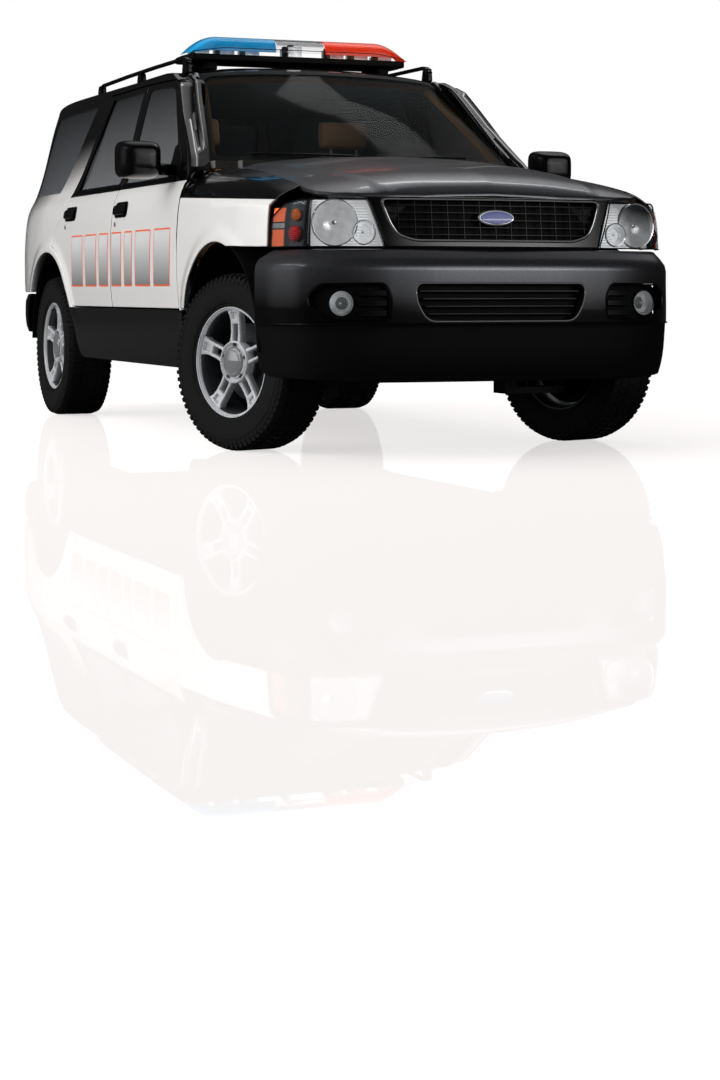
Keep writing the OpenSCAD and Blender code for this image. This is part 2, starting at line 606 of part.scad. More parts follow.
module wheel_liners() color("black") {
    both_sides() difference() {
        rod_x(arch_radius - 0.5, rail_x + 40.5, half_w - 19.5, axle_f, arch_z);
        rod_x(arch_radius - 9, rail_x + 48.5, outer_x, axle_f, arch_z);
        block([300, axle_f - 600, -300], [outer_x, axle_f + 600, 420]);
        block([400, axle_f - 80, 400], [480, axle_f + 80, 560]);
    }
    both_sides() difference() {
        rod_x(arch_radius - 0.5, 585, half_w - 35.5, axle_r, arch_z);
        rod_x(arch_radius - 9, 593, outer_x, axle_r, arch_z);
        block([300, axle_r - 600, -300], [outer_x, axle_r + 600, 400]);
        block([500, axle_r - 60, 380], [600, axle_r + 60, 430]);
    }
}
module engine_block() color("gray") {
    block([-310, nose_y + 330, 475], [310, gap_a - 220, 1010]);
    block([-170, gap_a - 230, 320], [170, gap_a + 280, 471]);
}
module fuel_tank() color("black") block([60, 150, 290], [330, 860, 474.7]);
// A round pipe through a list of points
module pipe(points, r) {
    for (i = [0 : len(points) - 2]) let (v = points[i + 1] - points[i], h = norm(v))
        translate(points[i]) rotate([0, acos(v[2] / h), atan2(v[1], v[0])]) cylinder(r = r, h = h);
    for (i = [1 : len(points) - 2]) translate(points[i]) sphere(r = r + 0.6);
}
module exhaust() color("silver") {
    pipe([[-250, gap_a + 100, 340], [-250, 200, 340]], 24);
    rod_y(95, 180, 700, -220, 350);
    pipe([[-250, 690, 370], [-250, axle_r - 300, 380], [-250, axle_r - 110, 442], [-250, axle_r + 110, 442],
        [-290, axle_r + 420, 400], [-300, tail_y - 60, 385]], 21);
    block([-262, axle_r - 10, 455], [-238, axle_r + 10, 474.7]);
    block([-262, 300, 430], [-238, 330, 474.7]);
    block([-262, gap_a + 180, 350], [-238, gap_a + 210, 474.7]);
}

// Axles
kingpin_x = 700;
wheel_out = track / 2 - kingpin_x;
// Underside of the lower arms
arm_z = hub_z - 153;
module front_suspension() color("dimgray") {
    both_sides() {
        block([rail_x, axle_f - 60, arm_z], [kingpin_x - 20, axle_f + 60, arm_z + 30]);
        block([rail_x - 40, axle_f - 45, 500], [kingpin_x - 20, axle_f + 45, 522]);
        block([rail_x, axle_f - 60, arm_z], [rail_x + 50, axle_f + 60, 359.7]);
        block([rail_x - 40, axle_f - 45, rail_top + 0.3], [rail_x + 40, axle_f + 45, 522]);
        translate([kingpin_x, axle_f, 0]) {
            translate([0, 0, arm_z - 3]) cylinder(r = 34, h = 36);
            translate([0, 0, hub_z + 129]) cylinder(r = 30, h = 396 - hub_z);
        }
    }
}
module rear_axle() color("dimgray") {
    rod_x(42, -track / 2 + 115, track / 2 - 115, axle_r, hub_z);
    rod_x(106, -95, 95, axle_r, hub_z);
    both_sides() rod_x(hub_bore - 0.1, track / 2 - 120, track / 2 + 20, axle_r, hub_z);
    both_sides() block([rail_x - 38, axle_r - 34, hub_z], [rail_x + 38, axle_r + 34, 417.7]);
    rod_y(38, gap_a + 280.3, axle_r - 100, 0, hub_z);
}

module at_knuckle(side) translate([side * kingpin_x, axle_f, hub_z]) rotate([0, 0, parked_steer]) children();
module knuckle(side) at_knuckle(side) scale([side, 1, 1]) {
    block([-24, -30, -119.7], [24, 30, 128.7]);
    rod_x(hub_bore - 0.1, 10, wheel_out + 20, 0, 0);
    rod_x(48, 20, 34, 0, 0);
}
module knuckle_left() color("dimgray") knuckle(1);
module knuckle_right() color("dimgray") knuckle(-1);

// Wheels, built on their own axle and then put in place. The outer face looks along +X.
module tyre() color("black") rotate([0, 90, 0]) rotate_extrude($fn = 96)
    polygon([[rim_radius, -tyre_width / 2 + 14], [rim_radius + 30, -tyre_width / 2],
        [tyre_radius - 40, -tyre_width / 2 + 2],
        [tyre_radius - 12, -tyre_width / 2 + 14], [tyre_radius, -tyre_width / 2 + 40],
            [tyre_radius, tyre_width / 2 - 40],
        [tyre_radius - 12, tyre_width / 2 - 14], [tyre_radius - 40, tyre_width / 2 - 2],
            [rim_radius + 30, tyre_width / 2],
        [rim_radius, tyre_width / 2 - 14]]);
module rim() color("silver") rotate([0, 90, 0]) {
    rotate_extrude($fn = 96) polygon([[rim_radius - 0.2, -tyre_width / 2 + 20],
        [rim_radius - 0.2, tyre_width / 2 - 16],
        [rim_radius - 14, tyre_width / 2 - 16], [rim_radius - 22, tyre_width / 2 - 40],
            [rim_radius - 14, -tyre_width / 2 + 20]]);
    // hub and spokes
    difference() {
        union() {
            translate([0, 0, 36]) cylinder(r = 72, h = 50);
            for (i = [0 : 4]) rotate([0, 0, 72 * i]) for (s = [-1, 1])
                rotate([0, 0, 9 * s]) translate([20, s * 6 - 12, 60]) cube([rim_radius - 36, 24, 26]);
        }
        translate([0, 0, 20]) cylinder(r = hub_bore, h = 50);
    }
    // brake disc
    difference() {
        translate([0, 0, -30]) cylinder(r = 160, h = 24);
        translate([0, 0, -40]) cylinder(r = 80, h = 44);
    }
    difference() {
        translate([0, 0, -30]) cylinder(r = 80, h = 66);
        translate([0, 0, -40]) cylinder(r = hub_bore + 22, h = 54);
        translate([0, 0, -40]) cylinder(r = hub_bore, h = 90);
    }
}
module at_front_wheel(side) at_knuckle(side) translate([side * wheel_out, 0, 0]) scale([side, 1,
    1]) children();
module at_rear_wheel(side) translate([side * track / 2, axle_r, hub_z]) scale([side, 1, 1]) children();
module tyre_front_left() at_front_wheel(1) tyre();
module tyre_front_right() at_front_wheel(-1) tyre();
module tyre_rear_left() at_rear_wheel(1) tyre();
module tyre_rear_right() at_rear_wheel(-1) tyre();
module rim_front_left() at_front_wheel(1) rim();
module rim_front_right() at_front_wheel(-1) rim();
module rim_rear_left() at_rear_wheel(1) rim();
module rim_rear_right() at_rear_wheel(-1) rim();

// Cabin
wheel_hub = [380, gap_a + 568, 1052];
column_tilt = 22;
module dashboard() color("tan") {
    side_prism([[firewall_y + 20.3, 900], [gap_a + 330, 900], [gap_a + 400, 1010], [gap_a + 380, 1110],
        [gap_a + 250, 1160],
        [firewall_y + 20.3, 1170]], -wall_half, wall_half);
    block([-120, gap_a + 330, 560], [120, gap_a + 420, 1000]);
    block([-150, gap_a + 420, floor_z], [150, gap_a + 1150, 800]);
    translate(wheel_hub) rotate([column_tilt - 90, 0, 0]) translate([0, 0, -190]) cylinder(r = 38,
        h = 181.7);
}
module steering_wheel() color("black") translate(wheel_hub) rotate([column_tilt - 90, 0, 0]) {
    rotate_extrude() translate([178, 0]) circle(r = 15, $fn = 24);
    cylinder(r = 62, h = 16, center = true);
    for (a = [0, 180, 270]) rotate([0, 0, a]) translate([50, -18, -6]) cube([120, 36, 12]);
}
module seat(x, y) translate([x, y, 0]) {
    side_prism([[-250, 640], [250, 640], [270, 700], [250, 798], [-240, 788]], -250, 250);
    side_prism([[180, 797.5], [330, 800.5], [440, 1330], [360, 1350], [300, 1300]], -240, 240);
    side_prism([[350, 1380], [450, 1380], [470, 1540], [390, 1550]], -140, 140);
    for (s = [-1, 1]) translate([s * 70, 400, 1290]) cylinder(r = 7, h = 100);
    block([-220, -200, floor_z], [-180, 200, 641]);
    block([180, -200, floor_z], [220, 200, 641]);
}
module front_seats() color("tan") {
    seat(400, gap_a + 950);
    seat(-400, gap_a + 950);
}
module rear_seat() color("tan") {
    side_prism([[gap_b + 330, floor_z], [gap_b + 740, floor_z], [gap_b + 740, 800],
        [gap_b + 330, 790]], -690, 690);
    side_prism([[gap_b + 690, 799.5], [gap_b + 810, 800.5], [gap_b + 930, 1300],
        [gap_b + 840, 1330]], -580, 580);
}

// Door mirrors
module mirror_left() color("black") difference() {
    union() {
        side_prism([[gap_a + 185, belt_z + 2], [gap_a + 256, belt_z + 26], [gap_a + 256, belt_z + 66],
            [gap_a + 205, belt_z + 56]],
            half_w - 115.5, half_w + 24.5);
        difference() {
            side_prism([[gap_a + 140, belt_z + 20], [gap_a + 140, belt_z + 130], [gap_a + 200, belt_z + 162],
                [gap_a + 262, belt_z + 160], [gap_a + 262, belt_z - 8], [gap_a + 200, belt_z - 8]],
                half_w + 6.5, half_w + 208.5);
            block([half_w + 20.5, gap_a + 252, belt_z + 8], [half_w + 194.5, gap_a + 270, belt_z + 144]);
        }
    }
    side_slab(gap_a + 100, gap_a + 320, belt_z - 20, belt_z + 180, -0.3, 150);
}
module mirror_right() mirror([1, 0, 0]) mirror_left();

frame_rails();
engine_block();
floor_pan();
body_side_left();
body_side_right();
front_fenders();
wheel_liners();
roof_panel();
windshield();
quarter_glass();
front_bumper();
grille();
headlamps();
rear_bumper();
tail_lamps();
roof_rails();
light_bar_base();
light_bar_domes();
dashboard();
front_seats();
rear_seat();
front_suspension();
rear_axle();
exhaust();
fuel_tank();
hood();
liftgate();
liftgate_glass();
front_door_left();
front_door_right();
rear_door_left();
rear_door_right();
front_door_glass_left();
front_door_glass_right();
rear_door_glass_left();
rear_door_glass_right();
mirror_left();
mirror_right();
fuel_door();
steering_wheel();
knuckle_left();
knuckle_right();
tyre_front_left();
tyre_front_right();
tyre_rear_left();
tyre_rear_right();
rim_front_left();
rim_front_right();
rim_rear_left();
rim_rear_right();
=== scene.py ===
"""Looks of the black and white patrol car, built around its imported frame. Metres, +X the car's left, -Y its front."""

import math

import bpy
import bmesh
from mathutils import Matrix, Vector
from mathutils.geometry import delaunay_2d_cdt


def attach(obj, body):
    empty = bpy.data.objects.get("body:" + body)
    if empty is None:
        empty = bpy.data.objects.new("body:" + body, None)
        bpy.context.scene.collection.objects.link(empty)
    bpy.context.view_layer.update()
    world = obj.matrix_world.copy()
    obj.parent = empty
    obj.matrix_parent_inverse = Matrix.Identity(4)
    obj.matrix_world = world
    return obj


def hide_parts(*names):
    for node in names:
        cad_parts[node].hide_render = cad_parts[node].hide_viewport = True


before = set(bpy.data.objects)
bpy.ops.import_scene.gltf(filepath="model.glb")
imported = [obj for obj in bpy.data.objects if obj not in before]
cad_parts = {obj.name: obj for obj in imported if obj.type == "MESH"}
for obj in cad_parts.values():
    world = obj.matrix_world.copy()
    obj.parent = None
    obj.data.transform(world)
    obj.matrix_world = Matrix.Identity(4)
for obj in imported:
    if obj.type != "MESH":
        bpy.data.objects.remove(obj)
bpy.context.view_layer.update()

# ---------------------------------------------------------------- driving sizes
HALF_W = 0.9155
NOSE = -2.408
TAIL = 2.408
AXLE_F = -1.547
AXLE_R = 1.344
HUB_Z = 0.368
GAP_A = -1.000            # between the front fender and the front door
GAP_B = 0.093             # between the doors
GAP_C = 1.020             # rear door's upper rear corner
DOOR_LOW = 0.585
BELT = 1.172
GLASS_TOP = 1.640
ROOF_Z = 1.762
HALF_GAP = 0.0035
GAP = 0.007
ARCH_R = 0.500
SKIN = 0.018
DOOR_DEEP = 0.092
STEER = math.radians(20)
HOOD_HALF = 0.690
HOOD_REAR = GAP_A - 0.068
HOOD_FRONT = NOSE + 0.092
ROOF_HALF = 0.640
ROOF_FRONT = GAP_A + 0.640
ROOF_REAR = TAIL - 0.420
BAR_Y = AXLE_F + 1.597
BAR_Z = ROOF_Z + 0.016
BADGE_Z = 0.954
SEAT_Y = GAP_A + 0.950
KINGPIN_X = 0.700         # the front wheels turn about an upright line here
WHEEL_OUT = 0.0735        # from that line to the wheel's middle
REAR_WHEEL_X = 0.7735
HANDS = ((1, "left"), (-1, "right"))


# ---------------------------------------------------------------- curves and surfaces
def smooth_curve(points):
    """A curve through the points that never overshoots them, straight beyond its ends."""
    t = [p[0] for p in points]
    v = [p[1] for p in points]
    n = len(points)
    slope = [(v[i + 1] - v[i]) / (t[i + 1] - t[i]) for i in range(n - 1)]
    tangent = [slope[0]] + [0.0] * (n - 2) + [slope[-1]]
    for i in range(1, n - 1):
        if slope[i - 1] * slope[i] > 0:
            w1 = 2 * (t[i + 1] - t[i]) + (t[i] - t[i - 1])
            w2 = (t[i + 1] - t[i]) + 2 * (t[i] - t[i - 1])
            tangent[i] = (w1 + w2) / (w1 / slope[i - 1] + w2 / slope[i])

    def at(x):
        if x <= t[0]:
            return v[0] + (x - t[0]) * tangent[0]
        if x >= t[-1]:
            return v[-1] + (x - t[-1]) * tangent[-1]
        i = max(k for k in range(n - 1) if t[k] <= x)
        h = t[i + 1] - t[i]
        s = (x - t[i]) / h
        return ((2 * s ** 3 - 3 * s ** 2 + 1) * v[i] + (s ** 3 - 2 * s ** 2 + s) * h * tangent[i]
            + (3 * s ** 2 - 2 * s ** 3) * v[i + 1] + (s ** 3 - s ** 2) * h * tangent[i + 1])
    return at


def blend_step(x, low, high):
    """0 below low, 1 above high, and a smooth step between them."""
    s = min(1.0, max(0.0, (x - low) / (high - low)))
    return s * s * (3 - 2 * s)


side_depth = smooth_curve([(0.28, 0.082), (0.32, 0.060), (0.43, 0.026), (DOOR_LOW, 0.012), (0.72, 0.001), (0.86, 0.0),
    (0.96, 0.004), (1.05, 0.013), (1.11, 0.028), (1.15, 0.048), (BELT, 0.060), (GLASS_TOP, 0.192), (1.70, 0.214),
    (1.716, 0.275)])
side_taper = smooth_curve([(NOSE - 0.02, 0.330), (NOSE + 0.03, 0.235), (NOSE + 0.09, 0.155), (NOSE + 0.17, 0.098),
    (NOSE + 0.28, 0.060), (NOSE + 0.43, 0.028), (NOSE + 0.65, 0.008), (AXLE_F + 0.33, 0.0), (AXLE_R + 0.10, 0.0),
    (TAIL - 0.60, 0.014), (TAIL - 0.42, 0.032), (TAIL - 0.30, 0.056), (TAIL - 0.20, 0.086), (TAIL - 0.12, 0.122),
    (TAIL - 0.06, 0.160), (TAIL + 0.02, 0.225)])
hood_line = smooth_curve([(NOSE, 1.020), (HOOD_FRONT, 1.062), (HOOD_FRONT + 0.04, 1.096), (HOOD_FRONT + 0.12, 1.128),
    (HOOD_FRONT + 0.30, 1.166), (HOOD_FRONT + 0.62, 1.214), (HOOD_FRONT + 0.90, 1.246), (GAP_A + 0.06, 1.272)])
hood_fall = smooth_curve([(0, 0), (0.25, 0.008), (0.45, 0.026), (0.60, 0.046), (0.70, 0.066), (0.78, 0.092),
    (0.83, 0.122), (0.86, 0.150), (0.93, 0.240)])
roof_line = smooth_curve([(AXLE_F + 1.13, ROOF_Z - 0.062), (AXLE_F + 1.30, ROOF_Z - 0.024),
    (AXLE_F + 1.60, ROOF_Z - 0.002), (AXLE_F + 2.00, ROOF_Z), (AXLE_F + 2.90, ROOF_Z - 0.008),
    (TAIL - 0.48, ROOF_Z - 0.030), (TAIL - 0.40, ROOF_Z - 0.044)])
roof_fall = smooth_curve([(0, 0), (0.30, 0.008), (0.45, 0.020), (0.55, 0.032), (0.62, 0.046), (0.70, 0.070)])
shield_bend = smooth_curve([(0, 0), (0.30, 0.014), (0.50, 0.046), (0.62, 0.084), (0.76, 0.150)])


def side_point(y, z, depth=0.0):
    """A point of the car's left side, from above and from behind alike."""
    return Vector((HALF_W - side_depth(z) - side_taper(y) - depth, y, z))


def hood_z(x, y):
    """Height of the hood, without its creases."""
    return hood_line(y) - hood_fall(abs(x))


def hood_point(x, y, depth=0.0):
    """Top of the hood: flat outside its two creases, raised between them."""
    crease = 0.47 + 0.13 * (y - HOOD_FRONT) / (HOOD_REAR - HOOD_FRONT)
    step = 0.007 * blend_step(abs(x), crease - 0.018, crease + 0.022)
    return Vector((x, y, hood_z(x, y) + 0.001 - step * blend_step(y, HOOD_FRONT - 0.02, HOOD_FRONT + 0.05) - depth))


def roof_point(x, y, depth=0.0):
    return Vector((x, y, roof_line(y) - roof_fall(abs(x)) - depth))


def shield(u, t, depth=0.0):
    """Windshield: u from -1 to 1 across it, t from 0 at the cowl to 1 at the roof."""
    x = u * (0.752 - 0.152 * t)
    y_low = GAP_A - 0.056 + shield_bend(abs(u) * 0.752)
    y_high = ROOF_FRONT - 0.0035 + shield_bend(abs(u) * 0.600) * 0.55
    z_high = roof_line(y_high) - roof_fall(abs(u) * 0.600) - 0.003
    crown = 0.012 * math.sin(math.pi * t)
    z_low = 1.244
    return Vector((x, y_low + (y_high - y_low) * t + depth * 0.55 - crown * 0.55, z_low + (z_high - z_low) * t - depth
        * 0.83 + crown * 0.83))


def rect(low_u, low_v, high_u, high_v):
    """The corners of a rectangle, counter-clockwise."""
    return [(low_u, low_v), (high_u, low_v), (high_u, high_v), (low_u, high_v)]


def arc(cu, cv, r, start, end, steps):
    """Points along a circle's arc, between two angles in degrees."""
    turn = [math.radians(start + (end - start) * i / steps) for i in range(steps + 1)]
    return [(cu + r * math.cos(a), cv + r * math.sin(a)) for a in turn]


def rounded(points, radius, steps=5):
    """The outline with its corners rounded; a corner between two near-straight sides is left."""
    out = []
    n = len(points)
    for i in range(n):
        p, a, b = Vector(points[i]), Vector(points[i - 1]), Vector(points[(i + 1) % n])
        u, v = (a - p), (b - p)
        cut = min(radius, u.length * 0.45, v.length * 0.45)
        u.normalize()
        v.normalize()
        if u.dot(v) < -0.985:
            out.append(tuple(p))
            continue
        for k in range(steps + 1):
            s = k / steps
            out.append(tuple((1 - s) ** 2 * (p + u * cut) + 2 * s * (1 - s) * p + s ** 2 * (p + v * cut)))
    return out


def evenly(points, step):
    """The closed outline with no side longer than the step."""
    out = []
    for i, p in enumerate(points):
        q = points[(i + 1) % len(points)]
        parts = max(1, math.ceil(math.dist(p, q) / step))
        out += [(p[0] + (q[0] - p[0]) * k / parts, p[1] + (q[1] - p[1]) * k / parts) for k in range(parts)]
    return [p for i, p in enumerate(out) if math.dist(p, out[i - 1]) > 1e-5]


def area(points):
    """Signed area: positive for a counter-clockwise outline."""
    return sum(points[i - 1][0] * p[1] - p[0] * points[i - 1][1] for i, p in enumerate(points)) / 2


def ccw(points):
    """The outline, turned counter-clockwise."""
    return points if area(points) > 0 else list(reversed(points))


def inset(points, distance):
    """Each point of a counter-clockwise outline moved inwards by the distance."""
    out = []
    n = len(points)
    for i in range(n):
        p, a, b = Vector(points[i]), Vector(points[i - 1]), Vector(points[(i + 1) % n])
        d1, d2 = (p - a).normalized(), (b - p).normalized()
        normal = Vector((-d1.y - d2.y, d1.x + d2.x))
        scale = max(0.5, normal.length / 2)
        out.append(tuple(p + normal.normalized() * distance / scale))
    return out


def inside(point, outline):
    """Whether the point lies within the closed outline."""
    hit = False
    x, y = point
    for i in range(len(outline)):
        x1, y1 = outline[i - 1]
        x2, y2 = outline[i]
        if (y1 > y) != (y2 > y) and x < (x2 - x1) * (y - y1) / (y2 - y1) + x1:
            hit = not hit
    return hit


# ---------------------------------------------------------------- meshes
def linked(name, data):
    """A new object in the scene."""
    obj = bpy.data.objects.new(name, data)
    bpy.context.scene.collection.objects.link(obj)
    return obj


def from_bmesh(name, bm):
    """A mesh made of a finished bmesh, which is freed."""
    mesh = bpy.data.meshes.new(name)
    bm.to_mesh(mesh)
    bm.free()
    return mesh


def new_object(name, verts, faces, material=None, smooth=True):
    mesh = bpy.data.meshes.new(name)
    mesh.from_pydata([tuple(v) for v in verts], [], faces)
    mesh.validate()
    if smooth:
        mesh.shade_smooth()
    obj = linked(name, mesh)
    if material:
        mesh.materials.append(material)
    return obj


def sheet(name, outline, surface, wall, material, holes=(), lip=0.003, cell=0.03):
    """A panel cut to its outline from a surface(u, v, depth), with rolled edges and its own wall."""
    outline = evenly(outline, cell)
    if area(outline) < 0:
        outline.reverse()
    rims = [outline]
    for hole in holes:
        hole = evenly(hole, cell)
        if area(hole) > 0:
            hole.reverse()
        rims.append(hole)
    flat, depth, loops = [], [], []
    for rim in rims:
        rings = []
        for move, sink in ((0.0, lip), (lip * 0.3, lip * 0.3), (lip, 0.0)):
            ring = inset(rim, move)
            rings.append(list(range(len(flat), len(flat) + len(ring))))
            flat += ring
            depth += [sink] * len(ring)
        loops.append(rings)
    fence = [flat[i] for rings in loops for i in rings[2]]
    borders = [[flat[i] for i in rings[2]] for rings in loops]
    low = [min(p[k] for p in outline) for k in (0, 1)]
    high = [max(p[k] for p in outline) for k in (0, 1)]
    grid = []
    columns = {}
    for p in fence:
        columns.setdefault((int(p[0] // cell), int(p[1] // cell)), []).append(p)
    for i in range(1, int((high[0] - low[0]) / cell) + 1):
        for j in range(1, int((high[1] - low[1]) / cell) + 1):
            p = (low[0] + i * cell, low[1] + j * cell)
            if not inside(p, borders[0]) or any(inside(p, b) for b in borders[1:]):
                continue
            key = (int(p[0] // cell), int(p[1] // cell))
            near = [q for a in (-1, 0, 1) for b in (-1, 0, 1) for q in columns.get((key[0] + a, key[1] + b), ())]
            if all(math.dist(p, q) > cell * 0.45 for q in near):
                grid.append(p)
    index = [i for rings in loops for i in rings[2]] + list(range(len(flat), len(flat) + len(grid)))
    flat += grid
    depth += [0.0] * len(grid)
    edges, at = [], 0
    for rings in loops:
        count = len(rings[2])
        edges += [(at + k, at + (k + 1) % count) for k in range(count)]
        at += count
    result = delaunay_2d_cdt([Vector(flat[i]) for i in index], edges, [], 0, 1e-7)
    source = [s[0] if s else None for s in result[3]]
    faces = []
    for face in result[2]:
        ids = [source[v] for v in face]
        if None in ids:
            continue
        tri = [index[i] for i in ids]
        centre = [sum(flat[i][k] for i in tri) / 3 for k in (0, 1)]
        if inside(centre, borders[0]) and not any(inside(centre, b) for b in borders[1:]):
            faces.append(tri)
    for rings in loops:
        for a, b in ((rings[0], rings[1]), (rings[1], rings[2])):
            n = len(a)
            faces += [[a[k], a[(k + 1) % n], b[(k + 1) % n], b[k]] for k in range(n)]
    count = len(flat)
    verts = [surface(flat[i][0], flat[i][1], depth[i]) for i in range(count)]
    back = [surface(flat[i][0], flat[i][1], wall) for i in range(count)]
    walls = []
    for rings in loops:
        a = rings[0]
        n = len(a)
        walls += [[a[(k + 1) % n], a[k], count + a[k], count + a[(k + 1) % n]] for k in range(n)]
    all_faces = faces + walls + [[count + i for i in reversed(f)] for f in faces]
    step = 0.002
    normals = []
    for i in range(count):
        u, v = flat[i]
        du = surface(u + step, v, 0.0) - surface(u - step, v, 0.0)
        dv = surface(u, v + step, 0.0) - surface(u, v - step, 0.0)
        normals.append(du.cross(dv).normalized())
    middle = count // 2
    if normals[middle].dot(verts[middle] - back[middle]) < 0:
        normals = [-n for n in normals]
    tri = faces[0]
    real = (verts[tri[1]] - verts[tri[0]]).cross(verts[tri[2]] - verts[tri[0]])
    if real.dot(normals[tri[0]]) < 0:
        all_faces = [list(reversed(f)) for f in all_faces]
    obj = new_object(name, verts + back, all_faces, material)
    mesh = obj.data
    own = [v.normal.copy() for v in mesh.vertices]
    custom = []
    for i in range(count):
        custom.append(normals[i] if depth[i] == 0.0 else own[i])
    custom += [-n for n in normals]
    mesh.normals_split_custom_set_from_vertices([tuple(n) for n in custom])
    return obj


def other_side(obj, name):
    """The same piece on the car's other side."""
    mesh = obj.data.copy()
    normals = [None] * len(mesh.vertices)
    if mesh.has_custom_normals:
        for loop in obj.data.loops:
            n = obj.data.corner_normals[loop.index].vector
            normals[loop.vertex_index] = (-n.x, n.y, n.z)
    mesh.transform(Matrix.Scale(-1, 4, (1, 0, 0)))
    mesh.flip_normals()
    twin = linked(name, mesh)
    if mesh.has_custom_normals and None not in normals:
        mesh.normals_split_custom_set_from_vertices(normals)
    return twin


def lathe(name, profile, material, steps=96, axis="X", closed=True):
    """A profile of (radius, along) points turned round an axis through the origin."""
    verts, faces = [], []
    n = len(profile)
    for k in range(steps):
        a = 2 * math.pi * k / steps
        for r, t in profile:
            ring = (r * math.cos(a), r * math.sin(a))
            verts.append({"X": (t, ring[0], ring[1]), "Y": (ring[1], t, ring[0]), "Z": (ring[0], ring[1], t)}[axis])
    for k in range(steps):
        m = (k + 1) % steps
        for i in range(n if closed else n - 1):
            j = (i + 1) % n
            faces.append([k * n + i, m * n + i, m * n + j, k * n + j])
    obj = new_object(name, verts, faces, material)
    outward(obj)
    return obj


def outward(obj):
    """Welds a mesh, turns its faces outwards and keeps its corners crisp."""
    bm = bmesh.new()
    bm.from_mesh(obj.data)
    bmesh.ops.remove_doubles(bm, verts=bm.verts, dist=1e-5)
    bmesh.ops.recalc_face_normals(bm, faces=bm.faces)
    bm.to_mesh(obj.data)
    bm.free()
    obj.data.set_sharp_from_angle(angle=math.radians(35))


def prism(name, outline, low, high, material, axis="X", bevel=0.002, segments=2):
    """An outline pushed along an axis, with bevelled edges. axis X takes (y, z), Y takes (x, z), Z takes (x, y)."""
    bm = bmesh.new()
    place = {"X": lambda a, b, t: (t, a, b), "Y": lambda a, b, t: (a, t, b), "Z": lambda a, b, t: (a, b, t)}[axis]
    bottom = [bm.verts.new(place(a, b, low)) for a, b in outline]
    top = [bm.verts.new(place(a, b, high)) for a, b in outline]
    bm.faces.new(bottom)
    bm.faces.new(list(reversed(top)))
    n = len(outline)
    for i in range(n):
        bm.faces.new([bottom[i], top[i], top[(i + 1) % n], bottom[(i + 1) % n]])
    bmesh.ops.recalc_face_normals(bm, faces=bm.faces)
    if bevel:
        sharp = [e for e in bm.edges if e.calc_face_angle(0) > math.radians(30)]
        bmesh.ops.bevel(bm, geom=sharp, offset=bevel, segments=segments, profile=0.5, affect="EDGES",
            clamp_overlap=True)
    mesh = from_bmesh(name, bm)
    mesh.shade_smooth()
    mesh.set_sharp_from_angle(angle=math.radians(35))
    mesh.materials.append(material)
    return linked(name, mesh)


def box(name, low, high, material, bevel=0.003, segments=2):
    """An upright block between two opposite corners."""
    return prism(name, rect(low[0], low[1], high[0], high[1]), low[2], high[2], material, "Z", bevel, segments)


def tube(name, points, radius, material, sides=12, closed=False, squash=1.0):
    """A round bar along a path."""
    pts = [Vector(p) for p in points]
    verts, faces = [], []
    n = len(pts)
    up = Vector((0, 0, 1))
    for i, p in enumerate(pts):
        a = pts[i - 1] if (i or closed) else p
        b = pts[(i + 1) % n] if (i < n - 1 or closed) else p
        along = (b - a).normalized()
        side = along.cross(up)
        if side.length < 0.05:
            side = along.cross(Vector((0, 1, 0)))
        side.normalize()
        lift = side.cross(along)
        for k in range(sides):
            t = 2 * math.pi * k / sides
            verts.append(p + side * math.cos(t) * radius + lift * math.sin(t) * radius * squash)
    for i in range(n if closed else n - 1):
        j = (i + 1) % n
        faces += [[i * sides + k, i * sides + (k + 1) % sides, j * sides + (k + 1) % sides, j * sides + k]
            for k in range(sides)]
    if not closed:
        faces += [list(range(sides)), [(n - 1) * sides + k for k in reversed(range(sides))]]
    obj = new_object(name, verts, faces, material)
    outward(obj)
    return obj


def joined(name, pieces):
    """Several meshes as one piece, with their materials."""
    materials = []
    keep = []
    for piece in pieces:
        slots = []
        for mat in piece.data.materials:
            if mat not in materials:
                materials.append(mat)
            slots.append(materials.index(mat))
        keep.append((piece, slots))
    mesh = bpy.data.meshes.new(name)
    verts, faces, face_mats, smooth, normals = [], [], [], [], []
    for piece, slots in keep:
        m = piece.data
        base = len(verts)
        verts += [tuple(piece.matrix_world @ v.co) for v in m.vertices]
        for poly in m.polygons:
            faces.append([base + v for v in poly.vertices])
            face_mats.append(slots[poly.material_index] if slots else 0)
            smooth.append(poly.use_smooth)
            normals += [tuple(m.corner_normals[k].vector) for k in poly.loop_indices]
    mesh.from_pydata(verts, [], faces)
    for mat in materials:
        mesh.materials.append(mat)
    mesh.polygons.foreach_set("material_index", face_mats)
    mesh.polygons.foreach_set("use_smooth", smooth)
    mesh.normals_split_custom_set(normals)
    obj = linked(name, mesh)
    for piece in pieces:
        old = piece.data
        bpy.data.objects.remove(piece)
        bpy.data.meshes.remove(old)
    return obj


def placed(obj, matrix):
    """The object with its mesh moved by the matrix."""
    obj.data.transform(matrix)
    if matrix.determinant() < 0:
        obj.data.flip_normals()
    return obj


